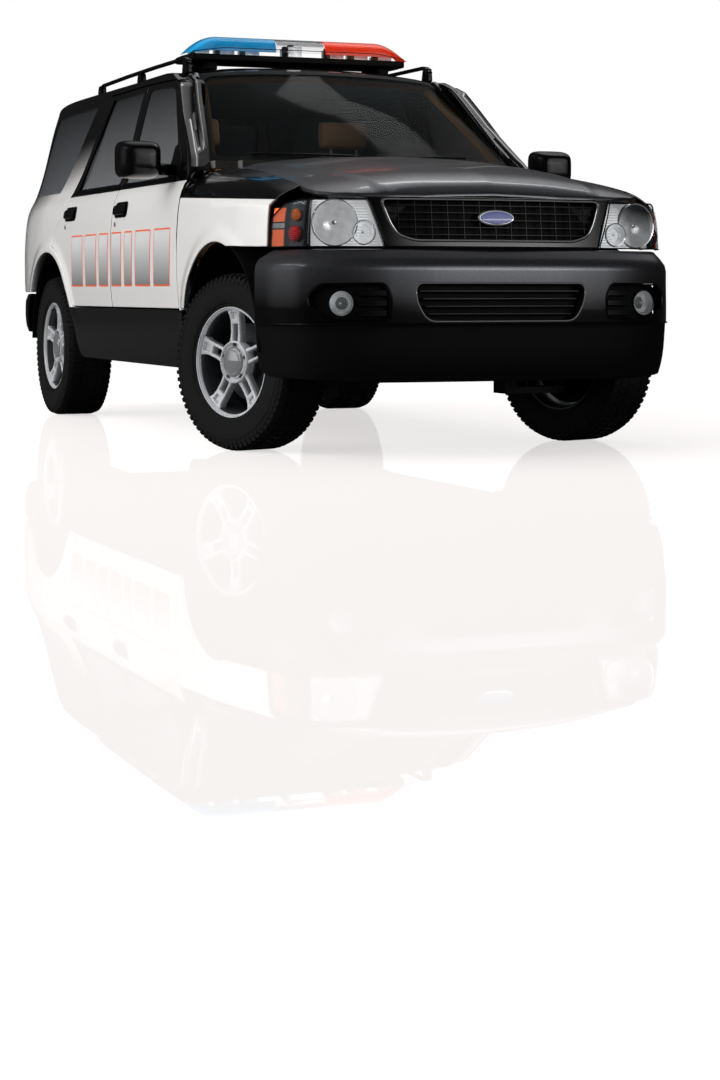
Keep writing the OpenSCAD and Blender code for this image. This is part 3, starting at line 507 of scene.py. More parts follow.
def repeat_tree():
    """Copies of an object: each one offset and turned a step further than the last, made one real mesh."""
    tree = bpy.data.node_groups.new("repeat_in_steps", "GeometryNodeTree")
    for name, kind in (("Piece", "NodeSocketObject"), ("Count", "NodeSocketInt"), ("Offset", "NodeSocketVector"),
        ("Turn", "NodeSocketVector"), ("Finish", "NodeSocketMaterial")):
        tree.interface.new_socket(name, in_out="INPUT", socket_type=kind)
    tree.interface.new_socket("Geometry", in_out="OUTPUT", socket_type="NodeSocketGeometry")
    give = tree.nodes.new("NodeGroupInput")
    out = tree.nodes.new("NodeGroupOutput")
    line = add(tree, "GeometryNodeMeshLine", {"Count": (give, "Count"), "Start Location": (0, 0, 0),
        "Offset": (give, "Offset")})
    index = add(tree, "GeometryNodeInputIndex")
    turn = add(tree, "ShaderNodeVectorMath", {0: (give, "Turn"), 3: (index, 0)}, operation="SCALE")
    spin = add(tree, "FunctionNodeEulerToRotation", {"Euler": (turn, 0)})
    info = add(tree, "GeometryNodeObjectInfo", {"Object": (give, "Piece")}, transform_space="ORIGINAL")
    copies = add(tree, "GeometryNodeInstanceOnPoints", {"Points": (line, "Mesh"), "Instance": (info, "Geometry"),
        "Rotation": (spin, 0)})
    real = add(tree, "GeometryNodeRealizeInstances", {"Geometry": (copies, 0)})
    finish = add(tree, "GeometryNodeSetMaterial", {"Geometry": (real, 0), "Material": (give, "Finish")})
    tree.links.new(finish.outputs[0], out.inputs[0])
    return tree


def add(tree, kind, inputs=None, **settings):
    """Adds a node with its settings; an input is a value, or (node, output) to link."""
    node = tree.nodes.new(kind)
    for name, value in settings.items():
        setattr(node, name, value)
    for key, value in (inputs or {}).items():
        socket = node.inputs[key]
        if isinstance(value, tuple) and len(value) == 2 and hasattr(value[0], "outputs"):
            tree.links.new(value[0].outputs[value[1]], socket)
        else:
            socket.default_value = value
    return node


REPEAT = repeat_tree()


def repeated(name, piece, count, material, offset=(0, 0, 0), turn=(0, 0, 0)):
    """The piece copied in steps by the tree above. The piece itself is used up."""
    host = new_object(name + "_host", [(0, 0, 0)], [])
    mod = host.modifiers.new("steps", "NODES")
    mod.node_group = REPEAT
    values = {"Piece": piece, "Count": count, "Offset": offset, "Turn": turn, "Finish": material}
    for item in REPEAT.interface.items_tree:
        if item.in_out == "INPUT":
            mod[item.identifier] = values[item.name]
    bpy.context.view_layer.update()
    deps = bpy.context.evaluated_depsgraph_get()
    obj = linked(name, bpy.data.meshes.new_from_object(host.evaluated_get(deps)))
    bpy.data.objects.remove(host)
    bpy.data.objects.remove(piece)
    return obj


# ---------------------------------------------------------------- materials
def linear(code):
    """An sRGB hex colour as linear light."""
    parts = [int(code[i:i + 2], 16) / 255 for i in (0, 2, 4)]
    return tuple(c / 12.92 if c <= 0.04045 else ((c + 0.055) / 1.055) ** 2.4 for c in parts) + (1.0,)


def finish(name, colour, rough, metal=0.0, coat=0.0, mottle=(0.6, 0.12), grain=None, flake=None, zones=(), see=None,
    glow=0.0, fuzz=0.0, lines=None, shine=0.5):
    """A material on Object coordinates. mottle: (patch size, share darker); grain: (size, height) of its bump;
    flake: (size, strength) of bright cells; zones: (colour, (a, b, c), d) paints where a*x + b*y + c*z > d;
    see: how much it hides straight on, for glass; lines: (spacing, direction, height) of its ribs. All in metres."""
    mat = bpy.data.materials.new(name)
    mat.use_nodes = True
    tree = mat.node_tree
    shader = tree.nodes["Principled BSDF"]
    shader.inputs["Metallic"].default_value = metal
    shader.inputs["Coat Weight"].default_value = coat
    shader.inputs["Coat Roughness"].default_value = 0.03
    shader.inputs["Sheen Weight"].default_value = fuzz
    shader.inputs["Specular IOR Level"].default_value = shine
    place = add(tree, "ShaderNodeTexCoord")
    patch = add(tree, "ShaderNodeTexNoise", {"Vector": (place, "Object"), "Scale": 1 / mottle[0], "Detail": 3.0})
    dark = tuple(c * (1 - mottle[1]) for c in linear(colour)[:3]) + (1.0,)
    base = add(tree, "ShaderNodeMix", {0: (patch, 0), 6: dark, 7: linear(colour)}, data_type="RGBA")
    paint = (base, 2)
    for code, direction, level in zones:
        along = add(tree, "ShaderNodeVectorMath", {0: (place, "Object"), 1: direction}, operation="DOT_PRODUCT")
        mask = add(tree, "ShaderNodeMapRange", {0: (along, 1), 1: level[0], 2: level[1]})
        zone = add(tree, "ShaderNodeMix", {0: (mask, 0), 6: paint, 7: linear(code)}, data_type="RGBA")
        paint = (zone, 2)
    if flake:
        cells = add(tree, "ShaderNodeTexVoronoi", {"Vector": (place, "Object"), "Scale": 1 / flake[0]})
        bright = add(tree, "ShaderNodeMapRange", {0: (cells, 1), 3: 1 - flake[1], 4: 1 + flake[1]})
        glint = add(tree, "ShaderNodeVectorMath", {0: paint, 3: (bright, 0)}, operation="SCALE")
        paint = (glint, 0)
    tree.links.new(paint[0].outputs[paint[1]], shader.inputs["Base Color"])
    wear = add(tree, "ShaderNodeMapRange", {0: (patch, 0), 3: max(0.0, rough - 0.03), 4: rough + 0.04})
    tree.links.new(wear.outputs[0], shader.inputs["Roughness"])
    height = None
    if grain:
        fine = add(tree, "ShaderNodeTexNoise", {"Vector": (place, "Object"), "Scale": 1 / grain[0], "Detail": 2.0})
        height = add(tree, "ShaderNodeBump", {"Height": (fine, 0), "Distance": grain[1], "Strength": 0.6})
    if lines:
        along = add(tree, "ShaderNodeVectorMath", {0: (place, "Object"), 1: lines[1]}, operation="DOT_PRODUCT")
        wave = add(tree, "ShaderNodeMath", {0: (along, 1), 1: 2 * math.pi / lines[0]}, operation="MULTIPLY")
        rib = add(tree, "ShaderNodeMath", {0: (wave, 0)}, operation="SINE")
        links = {"Height": (rib, 0), "Distance": lines[2], "Strength": 0.8}
        if height:
            links["Normal"] = (height, 0)
        height = add(tree, "ShaderNodeBump", links)
    if height:
        tree.links.new(height.outputs[0], shader.inputs["Normal"])
    if see is not None:
        edge = add(tree, "ShaderNodeFresnel", {"IOR": 1.5})
        hide = add(tree, "ShaderNodeMapRange", {0: (edge, 0), 1: 0.04, 2: 0.6, 3: see, 4: min(0.95, 0.25 + 4 * see)})
        tree.links.new(hide.outputs[0], shader.inputs["Alpha"])
    # glow: the paint colour emits; lit lamps use it for their light, other parts for painted brightness
    if glow:
        tree.links.new(paint[0].outputs[paint[1]], shader.inputs["Emission Color"])
        shader.inputs["Emission Strength"].default_value = glow
    return mat


BLACK = "060607"
WHITE = "EDEBE9"
# stoved enamel under clear lacquer: deep, wet gloss
enamel_black = finish("black_enamel_lacquered", BLACK, 0.12, coat=1.0, mottle=(0.8, 0.3))


def white_enamel(part, *zones):
    """White enamel with black zones, masked along straight lines: two-tone paint, and where a zone fades softly, a
    painted highlight.
    """
    return finish(f"white_enamel_lacquered_{part}", WHITE, 0.16, coat=1.0, mottle=(0.9, 0.03), zones=zones)


enamel_door = white_enamel("door", (BLACK, (0, 0, 1), (1.1495, 1.1505)))
enamel_fender = white_enamel("fender", (BLACK, (0, -0.0427, 1), (1.1135, 1.1145)),
    (BLACK, (0, 0, -1), (-0.580, -0.579)))
# the zones over the front pillar and below the sill are two-tone paint; the two wide fades from white into black over
# the other pillars are a painted highlight
enamel_side_painted_fade = white_enamel("side", (BLACK, (0, 0.25, 1), (1.50, 1.72)), (BLACK, (0, -1.2, 1), (2.02, 2.10)),
    (BLACK, (0, 0, 1), (1.16, 1.46)), (BLACK, (0, 0, -1), (-0.580, -0.579)))
# aluminium flake in grey enamel, under lacquer: silver where light falls straight on, near black elsewhere;
# the flakes are drawn as 1.5 mm cells, far coarser than real ones, so that they show
# painted shade: the zone darkens the paint to near black from z 0.745 down to 0.600, so the bumper's lower band reads
# shaded under its crease
enamel_flake_shaded_low = finish("charcoal_metallic_enamel", "6E6F74", 0.30, metal=0.9, coat=0.5, mottle=(0.7, 0.15),
    flake=(0.0015, 0.35), grain=(0.002, 0.00004), zones=[("0B0B0C", (0, 0, -1), (-0.745, -0.600))])
# moulded polypropylene with a leather grain: dull, dark, faintly mottled
plastic_black = finish("polypropylene_grained", "0A0A0B", 0.52, mottle=(0.2, 0.25), grain=(0.0016, 0.0003),
    shine=0.15)
# moulded ABS, smooth: soft gloss
abs_black = finish("abs_gloss_black", "08080A", 0.22, coat=0.1, mottle=(0.3, 0.2), grain=(0.02, 0.00005), shine=0.3)
# vulcanised rubber with carbon black: dull, brownish on the tread
rubber = finish("tyre_rubber", "0C0C0D", 0.62, mottle=(0.12, 0.35), grain=(0.0018, 0.0003))
seal_rubber = finish("epdm_rubber_seal", "050506", 0.45, mottle=(0.05, 0.3), grain=(0.002, 0.0001), shine=0.10)
# cast aluminium under silver lacquer: bright, slightly soft reflections, with a faint glow that paints brightness on it
alloy = finish("cast_aluminium_lacquered", "D9DBDE", 0.26, metal=0.45, coat=0.6, mottle=(0.05, 0.10),
    flake=(0.001, 0.08), glow=0.06)
alloy_dark = finish("cast_aluminium_bare", "6A6D72", 0.42, metal=0.9, mottle=(0.05, 0.3), grain=(0.002, 0.0002))
# the chrome also gets a faint glow that paints brightness on it
chrome = finish("chromed_abs", "E9EAEC", 0.07, metal=0.9, mottle=(0.1, 0.05), glow=0.06)
# the glows on the reflector, bowl and ribs paint brightness in place of the reflections they would catch; the bowl's
# darker top is a painted reflection
reflector = finish("vapour_coated_aluminium", "E4E6E8", 0.14, metal=0.8, mottle=(0.035, 0.9), glow=0.34)
lamp_bowl = finish("vapour_coated_bowl", "F2F4F6", 0.16, metal=0.7, mottle=(0.03, 0.5), glow=0.42,
    zones=[("26282C", (0.25, 0, 1), (1.075, 1.165))])
ribbed = finish("vapour_coated_ribs", "EEF0F2", 0.16, metal=0.6, mottle=(0.05, 0.08), lines=(0.011, (0, 0, 1), 0.003),
    glow=0.45)
# polycarbonate mouldings: clear or dyed through
lens = finish("polycarbonate_clear", "4A4E52", 0.03, mottle=(0.2, 0.02), see=0.05)
# its glow paints brightness on the orange markers
lens_orange = finish("acrylic_orange_prisms", "FF6A1E", 0.3, coat=0.8, mottle=(0.02, 0.12), glow=0.25,
    grain=(0.004, 0.0005))
lens_amber = finish("acrylic_amber", "F0761E", 0.12, coat=0.8, mottle=(0.03, 0.3), see=0.55)
lens_smoke = finish("acrylic_smoke", "6D7378", 0.08, metal=0.5, mottle=(0.04, 0.5), see=0.45)
lens_red = finish("polycarbonate_red", "F0401C", 0.06, coat=0.8, mottle=(0.06, 0.25), see=0.62, glow=0.30,
    lines=(0.012, (1, 0, 0), 0.0006))
lens_blue = finish("polycarbonate_blue", "1E9AD2", 0.06, coat=0.8, mottle=(0.06, 0.3), see=0.62, glow=0.28,
    lines=(0.012, (1, 0, 0), 0.0006))
tail_red = finish("acrylic_tail_red", "B80F12", 0.08, coat=1.0, mottle=(0.02, 0.3), lines=(0.008, (0, 0, 1), 0.0008))
# painted reflection: the glass's glow paints a pale grey reflection on it, and this zone paints it darker towards the
# roof
GLASS_PAINTED_DARK_TOP = [("1C1D1F", (0, 0, 1), (1.18, 1.66))]      # the glass darkens towards the roof
glass_side = finish("toughened_glass_tinted", "66686A", 0.05, mottle=(0.8, 0.1), see=0.86, glow=0.10,
    zones=GLASS_PAINTED_DARK_TOP)
glass_rear = finish("toughened_glass_privacy", "55575A", 0.05, mottle=(0.8, 0.1), see=0.93, glow=0.08,
    zones=GLASS_PAINTED_DARK_TOP)
glass_front = finish("laminated_glass", "0C1011", 0.03, mottle=(0.8, 0.2), see=0.12, shine=0.06)
mirror_glass = finish("silvered_glass", "D8DCE0", 0.02, metal=1.0, mottle=(0.2, 0.05))
# printed vinyl film
film_orange = finish("vinyl_film_orange", "F0663A", 0.35, coat=0.3, mottle=(0.1, 0.06))
film_silver = finish("vinyl_film_silver", "DCDCDC", 0.35, metal=0.1, coat=0.3, mottle=(0.1, 0.05),
    zones=[("808080", (0, 0, -1), (-0.90, -0.69))])
tan_soft = finish("soft_touch_vinyl_tan", "8A6A45", 0.6, mottle=(0.1, 0.12), grain=(0.002, 0.0004))
tan_light = finish("moulded_trim_tan", "A98350", 0.55, mottle=(0.1, 0.1), grain=(0.002, 0.0003))
cloth_tan = finish("woven_cloth_tan", "7A5C3C", 0.85, mottle=(0.02, 0.2), grain=(0.0016, 0.0009), fuzz=0.4)
headliner_cloth = finish("brushed_headliner_cloth", "4A4038", 0.9, mottle=(0.03, 0.12), grain=(0.002, 0.0004),
    fuzz=0.3)
carpet = finish("tufted_carpet", "2A2622", 0.95, mottle=(0.01, 0.4), grain=(0.003, 0.002), fuzz=0.5)
steel_coated = finish("wax_coated_steel", "141416", 0.5, metal=0.3, mottle=(0.08, 0.4), grain=(0.003, 0.0004))
cast_iron = finish("cast_iron", "26272A", 0.6, metal=0.7, mottle=(0.05, 0.4), grain=(0.003, 0.0006))
exhaust_steel = finish("aluminised_steel", "6F7072", 0.4, metal=0.9, mottle=(0.06, 0.35), grain=(0.01, 0.0004))
tank_plastic = finish("blow_moulded_polyethylene", "101011", 0.55, mottle=(0.1, 0.3), grain=(0.003, 0.0003))


def piece(obj, body, *nodes, slot=None):
    """Fixes a finished piece to its body and hides the plain solids it stands for."""
    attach(obj, body)
    if nodes:
        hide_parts(*nodes)
    return obj


# ---------------------------------------------------------------- body sides and doors
FRAME_TOP = GLASS_TOP + 0.022
front_door_line = [(GAP_A + HALF_GAP, DOOR_LOW), (GAP_B - HALF_GAP, DOOR_LOW), (GAP_B - HALF_GAP, FRAME_TOP),
    (GAP_A + 0.640, FRAME_TOP - 0.012), (GAP_A + 0.560, FRAME_TOP - 0.040), (GAP_A + 0.095, BELT + 0.052),
    (GAP_A + HALF_GAP, BELT - 0.020)]
rear_door_line = [(GAP_B + HALF_GAP, FRAME_TOP), (GAP_B + HALF_GAP, DOOR_LOW)] + arc(AXLE_R, HUB_Z, ARCH_R + 0.042,
    156.4, 99, 14) + [(GAP_C + 0.225, BELT - 0.236), (GAP_C + 0.130, BELT - 0.150), (GAP_C + 0.010, BELT + 0.010),
    (GAP_C - 0.262, FRAME_TOP)]
front_pane = [(GAP_A + 0.205, BELT + 0.010), (GAP_B - 0.052, BELT + 0.010), (GAP_B - 0.058, GLASS_TOP - 0.008),
    (GAP_A + 0.665, GLASS_TOP - 0.020), (GAP_A + 0.590, GLASS_TOP - 0.044)]
rear_pane = [(GAP_B + 0.056, BELT + 0.012), (GAP_C - 0.062, BELT + 0.014), (GAP_C - 0.322, GLASS_TOP - 0.008),
    (GAP_B + 0.050, GLASS_TOP - 0.006)]
quarter_pane = [(AXLE_R - 0.020, BELT + 0.014), (TAIL - 0.300, BELT + 0.018), (TAIL - 0.500, GLASS_TOP - 0.036),
    (TAIL - 0.560, GLASS_TOP - 0.020), (GAP_C - 0.030, GLASS_TOP - 0.014)]
body_line = [(GAP_A - 0.040, 0.320), (AXLE_R - 0.430, 0.320)] + arc(AXLE_R, HUB_Z, ARCH_R, 186, 35,
    30) + [(TAIL - 0.350, 0.655), (TAIL - 0.146, 0.655), (TAIL - 0.150, 0.800), (TAIL - 0.245, 0.802),
    (TAIL - 0.245, 1.118), (TAIL - 0.168, 1.118), (TAIL - 0.200, BELT), (TAIL - 0.385, GLASS_TOP + 0.036),
    (TAIL - 0.430, 1.690), (TAIL - 0.700, 1.706), (GAP_A + 1.500, 1.714), (GAP_A + 0.900, 1.706),
    (GAP_A + 0.740, 1.694), (GAP_A + 0.655, 1.664), (GAP_A + 0.360, 1.460), (GAP_A + 0.090, BELT + 0.092),
    (GAP_A + 0.020, BELT + 0.028), (GAP_A + 0.002, BELT - 0.040), (GAP_A + 0.002, 0.600), (GAP_A - 0.040, 0.560)]


def flared(y, z, depth=0.0):
    """The side with a soft flare round both wheel arches."""
    p = side_point(y, z, depth)
    for axle in (AXLE_F, AXLE_R):
        r = math.hypot(y - axle, z - HUB_Z)
        if z > 0.45:
            p.x += 0.010 * (1 - blend_step(r, ARCH_R + 0.012, ARCH_R + 0.085)) * blend_step(z, 0.45, 0.60)
    return p


def behind(depth0):
    """The side's surface starting at another depth."""
    return lambda y, z, d: side_point(y, z, depth0 + d)


def body_wall(y, z, depth=0.0):
    """The fixed side: its inner face leans in, so that the front pillar meets the windshield."""
    if depth < 0.05:
        return flared(y, z, depth)
    deep = 0.080 + 0.040 * blend_step(z, 1.25, 1.66)
    return side_point(y, z, deep if z > 1.20 else 0.060)


def grown(points, by):
    """The outline moved outwards."""
    return inset(ccw(points), -by)


def union_hole():
    """Both door openings as one, because the pillar between them lies behind the doors."""
    g = GAP
    top = FRAME_TOP + g
    low = DOOR_LOW - g
    left = [(GAP_B, top), (GAP_A + 0.638, top - 0.012), (GAP_A + 0.553, top - 0.040), (GAP_A + 0.088, BELT + 0.056),
        (GAP_A - HALF_GAP, BELT - 0.016), (GAP_A - HALF_GAP, low)]
    right = arc(AXLE_R, HUB_Z, ARCH_R + 0.042 - g, 156.9, 98.6, 20) + [(GAP_C + 0.233, BELT - 0.238),
        (GAP_C + 0.136, BELT - 0.146), (GAP_C + 0.017, BELT + 0.012), (GAP_C - 0.256, top)]
    return left + right


def side_panels():
    hole = [(max(y, GAP_A + 0.0055), z) for y, z in union_hole()]
    main = sheet("side", body_line, body_wall, 0.060, enamel_side_painted_fade, [hole, rounded(quarter_pane, 0.03)], 0.004, 0.028)
    frames = sheet("jamb", grown(hole, 0.020), behind(0.061), 0.030, enamel_black,
        [rounded(inset(ccw(front_door_line), 0.030), 0.02), rounded(inset(ccw(rear_door_line), 0.030), 0.02)], 0.003,
        0.04)
    return main, frames


def bar(y0, y1, lean, z0=0.684, z1=0.945):
    """One slanted, blunt-cornered bar of the door's stripe."""
    return rounded([(y0, z0), (y1, z0), (y1 - lean, z1), (y0 - lean, z1)], 0.012, 3)


def shade_shut_edges(skin):
    """The folded edges of a door's skin, given the dark seal material as painted shade, so that its shut lines read
    dark.
    """
    skin.data.materials.append(seal_rubber)
    for face in skin.data.polygons:
        if abs(face.normal.y) > 0.8:
            face.material_index = 1
    return skin


def door_parts(name, line, pane, handle, bars):
    line = ccw(line)
    skin = shade_shut_edges(sheet(name + "_skin", rounded(line, 0.012, 3), flared, SKIN, enamel_door,
        [rounded(pane, 0.028)], 0.004, 0.026))
    low_line = [(y, min(z, BELT - 0.004)) for y, z in inset(line, 0.034)]
    low_line = [p for i, p in enumerate(low_line) if math.dist(p, low_line[i - 1]) > 0.004]
    inner = sheet(name + "_inner", rounded(low_line, 0.02, 3), behind(SKIN + 0.0002), DOOR_DEEP - SKIN - 0.014,
        enamel_black, (), 0.004, 0.05)
    trim_line = rounded(inset(ccw(low_line), 0.012), 0.03, 3)
    trim = sheet(name + "_trim", trim_line, lambda y, z, d: side_point(y, z, DOOR_DEEP - 0.002 - d), 0.010, tan_light,
        (), 0.004, 0.05)
    ring = sheet(name + "_frame", rounded(inset(line, 0.016), 0.02, 3), behind(SKIN + 0.0003), 0.020, seal_rubber,
        [rounded(grown(pane, 0.001), 0.03)], 0.002, 0.04)
    ys = [p[0] for p in line if p[1] < 1.2]
    y0, y1 = min(ys) + 0.10, min(max(ys) - 0.12, GAP_C - 0.10)
    rest = prism("rest", rounded([(y0 + 0.06, 0.86), (y1 - 0.05, 0.86), (y1 - 0.05, 0.925), (y0 + 0.06, 0.915)],
        0.02), 0.768, 0.818, tan_soft, "X", 0.008, 3)
    pocket = prism("pocket", rounded([(y0 + 0.08, 0.66), (y1 - 0.12, 0.66), (y1 - 0.12, 0.76), (y0 + 0.08, 0.75)],
        0.02), 0.790, 0.818, tan_soft, "X", 0.006, 2)
    pull = tube("pull", [(0.806, y0 + 0.15, 1.02), (0.788, y0 + 0.17, 1.02), (0.788, y0 + 0.25, 1.02),
        (0.806, y0 + 0.27, 1.02)], 0.007, chrome, 10)
    hy0, hy1, hz0, hz1 = handle
    cup = sheet("cup", rounded(rect(hy0, hz0, hy1, hz1), 0.034, 6), behind(-0.0025), 0.0025, seal_rubber, (), 0.002,
        0.02)
    grip_line = rounded(rect(hy0 + 0.020, hz0 + 0.014, hy1 - 0.012, hz1 - 0.014), 0.022, 6)
    grip = sheet("grip", grip_line, behind(-0.016), 0.010, abs_black, (), 0.006, 0.012)
    stem = prism("stem", rect(hy0 + 0.03, hz0 + 0.022, hy0 + 0.06, hz1 - 0.022), side_point(hy0, hz0).x + 0.001,
        side_point(hy0, hz0).x + 0.010, abs_black, "X", 0.002, 2)
    lock = placed(lathe("lock", [(0.0, 0.0), (0.011, 0.0), (0.012, 0.003), (0.010, 0.004), (0.0, 0.004)], chrome, 24,
        "X", False), Matrix.Translation(side_point(hy1 - 0.03, hz0 - 0.03) + Vector((0.0005, 0, 0))))
    pieces = [skin, inner, trim, ring, rest, pocket, pull, cup, grip, stem, lock]
    belt_line = [(min(ys) + 0.16, BELT - 0.022), (y1 + 0.10, BELT - 0.020), (y1 + 0.085, BELT + 0.004),
        (min(ys) + 0.20, BELT + 0.004)]
    if min(ys) > 0:
        belt_line[0] = (min(ys) + 0.004, BELT - 0.022)
        belt_line[3] = (min(ys) + 0.004, BELT + 0.004)
    pieces.append(sheet("belt", rounded(belt_line, 0.006, 3), behind(-0.006), 0.006, seal_rubber, (), 0.003, 0.03))
    for y0b, y1b, lean in bars:
        pieces.append(sheet("stripe_edge", bar(y0b, y1b, lean), behind(-0.0006), 0.0006, film_orange, (), 0.0003,
            0.03))
        pieces.append(sheet("stripe", inset(ccw(bar(y0b, y1b, lean)), 0.008), behind(-0.0012), 0.0006, film_silver,
            (), 0.0003, 0.03))
    return joined(name, pieces)


def pane_sheet(name, pane, material):
    return sheet(name, rounded(grown(ccw(pane), -0.0004), 0.028), behind(0.007), 0.005, material, (), 0.001, 0.05)


front_bars = [(-0.895, -0.640, 0.010), (-0.590, -0.340, 0.004), (-0.290, -0.155, 0.0), (-0.105, 0.070, -0.004)]
rear_bars = [(0.130, 0.300, -0.006), (0.345, 0.560, -0.010), (0.605, 0.830, -0.016)]
side_main, side_frames = side_panels()
front_door = door_parts("front_door", front_door_line, front_pane, (-0.175, 0.045, 1.012, 1.088), front_bars)
rear_door = door_parts("rear_door", rear_door_line, rear_pane, (0.790, 1.010, 1.022, 1.096), rear_bars)
divider = prism("divider", [(0.893, BELT + 0.008), (0.915, BELT + 0.008), (0.690, GLASS_TOP - 0.006),
    (0.668, GLASS_TOP - 0.006)], 0, 0.012, seal_rubber, "X", 0.002, 2)
for v in divider.data.vertices:
    v.co.x += side_point(v.co.y, v.co.z).x - 0.006
divider.data.update()
rear_door = joined("rear_door", [rear_door, divider])
front_glass = pane_sheet("front_door_glass", front_pane, glass_side)
rear_glass = pane_sheet("rear_door_glass", rear_pane, glass_side)
quarter = pane_sheet("quarter_window", quarter_pane, glass_rear)
for side in ("left", "right"):
    right = side == "right"

    def named(obj, name):
        if right:
            return other_side(obj, name)
        obj.name = name
        return obj
    piece(named(side_main, f"side_panel_{side}"), "car_body", f"body_side_{side}", slot="white_paint")
    piece(named(side_frames, f"door_jambs_{side}"), "car_body", slot="black_paint")
    piece(named(front_door, f"front_door_shell_{side}"), f"front_door_{side}", f"front_door_{side}",
        slot="white_paint")
    piece(named(rear_door, f"rear_door_shell_{side}"), f"rear_door_{side}", f"rear_door_{side}", slot="white_paint")
    piece(named(front_glass, f"front_window_{side}"), f"front_door_{side}", f"front_door_glass_{side}",
        slot="clear_glass")
    piece(named(rear_glass, f"rear_window_{side}"), f"rear_door_{side}", f"rear_door_glass_{side}", slot="dark_glass")
    piece(named(quarter, f"quarter_window_{side}"), "car_body", *(["quarter_glass"] if right else []),
        slot="dark_glass")


# ---------------------------------------------------------------- fenders, hood, roof and windshield
CORE = Vector((0.60, 0.80))      # the point, in x and z, that a fender's section is drawn round


def fender_point(y, t, depth=0.0):
    """A fender: t is an angle round its core, in radians times 0.3, from the side up to the hood's gap."""
    angle = t / 0.3
    c, s = math.cos(angle), math.sin(angle)
    low, high = 0.05, 0.60
    for _ in range(26):
        r = (low + high) / 2
        x, z = CORE.x + r * c, CORE.y + r * s
        over = max(z - hood_z(min(x, 0.93), y) - 0.0005, (x - flared(y, z).x))
        if over > 0:
            high = r
        else:
            low = r
    r -= depth
    return Vector((CORE.x + r * c, y, CORE.y + r * s))


def fender_t(y, z):
    """The fender's t at a height on its side."""
    return math.atan2(z - CORE.y, flared(y, z).x - CORE.x) * 0.3


def fender_top(y, x):
    """The fender's t at a place across its top."""
    return math.atan2(hood_z(x, y) - CORE.y, x - CORE.x) * 0.3


def hood_edge(y):
    """The hood's half width at a place along it."""
    if y > HOOD_REAR - 0.300:
        return HOOD_HALF - 0.020 * (y - HOOD_REAR + 0.300) / 0.300
    if y > NOSE + 0.250:
        return HOOD_HALF + 0.040 * (1 - (y - NOSE - 0.250) / (HOOD_REAR - 0.300 - NOSE - 0.250))
    return max(0.3, HOOD_HALF + 0.040 - 0.070 * (NOSE + 0.250 - y) / 0.100)


fender_line = [(GAP_A - HALF_GAP, fender_t(GAP_A - HALF_GAP, DOOR_LOW + 0.003))]
for k in range(9):
    y = GAP_A - HALF_GAP
    z = DOOR_LOW + 0.003 + (1.09 - DOOR_LOW) * k / 8
    fender_line.append((y, fender_t(y, z)))
for k in range(6):
    y = GAP_A - HALF_GAP
    x = 0.87 - (0.87 - HOOD_HALF - 0.010) * k / 5
    fender_line.append((y, fender_top(y, x)))
for k in range(24):
    y = GAP_A - 0.010 + (NOSE + 0.345 - GAP_A + 0.010) * k / 23
    fender_line.append((y, fender_top(y, hood_edge(y) + GAP)))
for z in (1.036, 0.98, 0.92, 0.86, 0.840):
    fender_line.append((NOSE + 0.342, fender_t(NOSE + 0.342, z)))
fender_line += [(NOSE + 0.412, fender_t(NOSE + 0.412, 0.840))]
for y, z in arc(AXLE_F, HUB_Z, ARCH_R, 106.5, 25.8, 30):
    fender_line.append((y, fender_t(y, z)))
clean = [fender_line[0]]
for p in fender_line[1:]:
    if math.dist(p, clean[-1]) > 0.002:
        clean.append(p)
fender = sheet("fender", clean, fender_point, 0.012, enamel_fender, (), 0.003, 0.024)
piece(other_side(fender, "fender_right"), "car_body", "front_fenders", slot="black_paint")
fender.name = "fender_left"
piece(fender, "car_body", slot="black_paint")


def hood_bent(x, y, depth=0.0):
    """The hood, with its front edge rolled down."""
    p = hood_point(x, y, depth)
    nose = max(0.0, (HOOD_FRONT + 0.030 - y) / 0.030)
    p.z -= 0.010 * nose * nose
    return p


hood_half = [(0.0, HOOD_REAR), (HOOD_HALF - 0.020, HOOD_REAR), (HOOD_HALF, HOOD_REAR - 0.300),
    (HOOD_HALF + 0.018, -1.75), (HOOD_HALF + 0.032, NOSE + 0.400), (HOOD_HALF + 0.036, NOSE + 0.290),
    (HOOD_HALF + 0.020, NOSE + 0.215), (0.660, NOSE + 0.160), (0.560, HOOD_FRONT + 0.030),
    (0.440, HOOD_FRONT + 0.010), (0.300, HOOD_FRONT), (0.0, HOOD_FRONT)]
hood_outline = [p for p in hood_half if p[0] > 0] + [(-x, y) for x, y in reversed(hood_half) if x > 0]
hood = sheet("hood_panel", hood_outline, hood_bent, 0.022, enamel_flake_shaded_low, (), 0.006, 0.024)
hood_under = sheet("hood_pad", inset(ccw(hood_outline), 0.09), lambda x, y, d: hood_bent(x, y, 0.0232 + d), 0.006,
    carpet, (), 0.002, 0.06)
piece(joined("hood_panel", [hood, hood_under]), "hood", "hood", slot="charcoal_paint")

roof_outline = [(ROOF_HALF - 0.001, ROOF_REAR)] + [(x, ROOF_FRONT + shield_bend(abs(x)) * 0.55)
    for x in (0.639, 0.60, 0.5, 0.4, 0.3, 0.2, 0.1, 0.0, -0.1, -0.2, -0.3, -0.4, -0.5, -0.60, -0.639)] + [(-ROOF_HALF
    + 0.001, ROOF_REAR)]


def roof_bent(x, y, depth=0.0):
    """The roof, with two shallow swages along it."""
    p = roof_point(x, y, depth)
    for line in (0.22, 0.44):
        p.z -= 0.004 * math.exp(-((abs(x) - line) / 0.014) ** 2) * blend_step(y, -0.2, -0.05) * (1
            - blend_step(y, 1.7, 1.85))
    return p


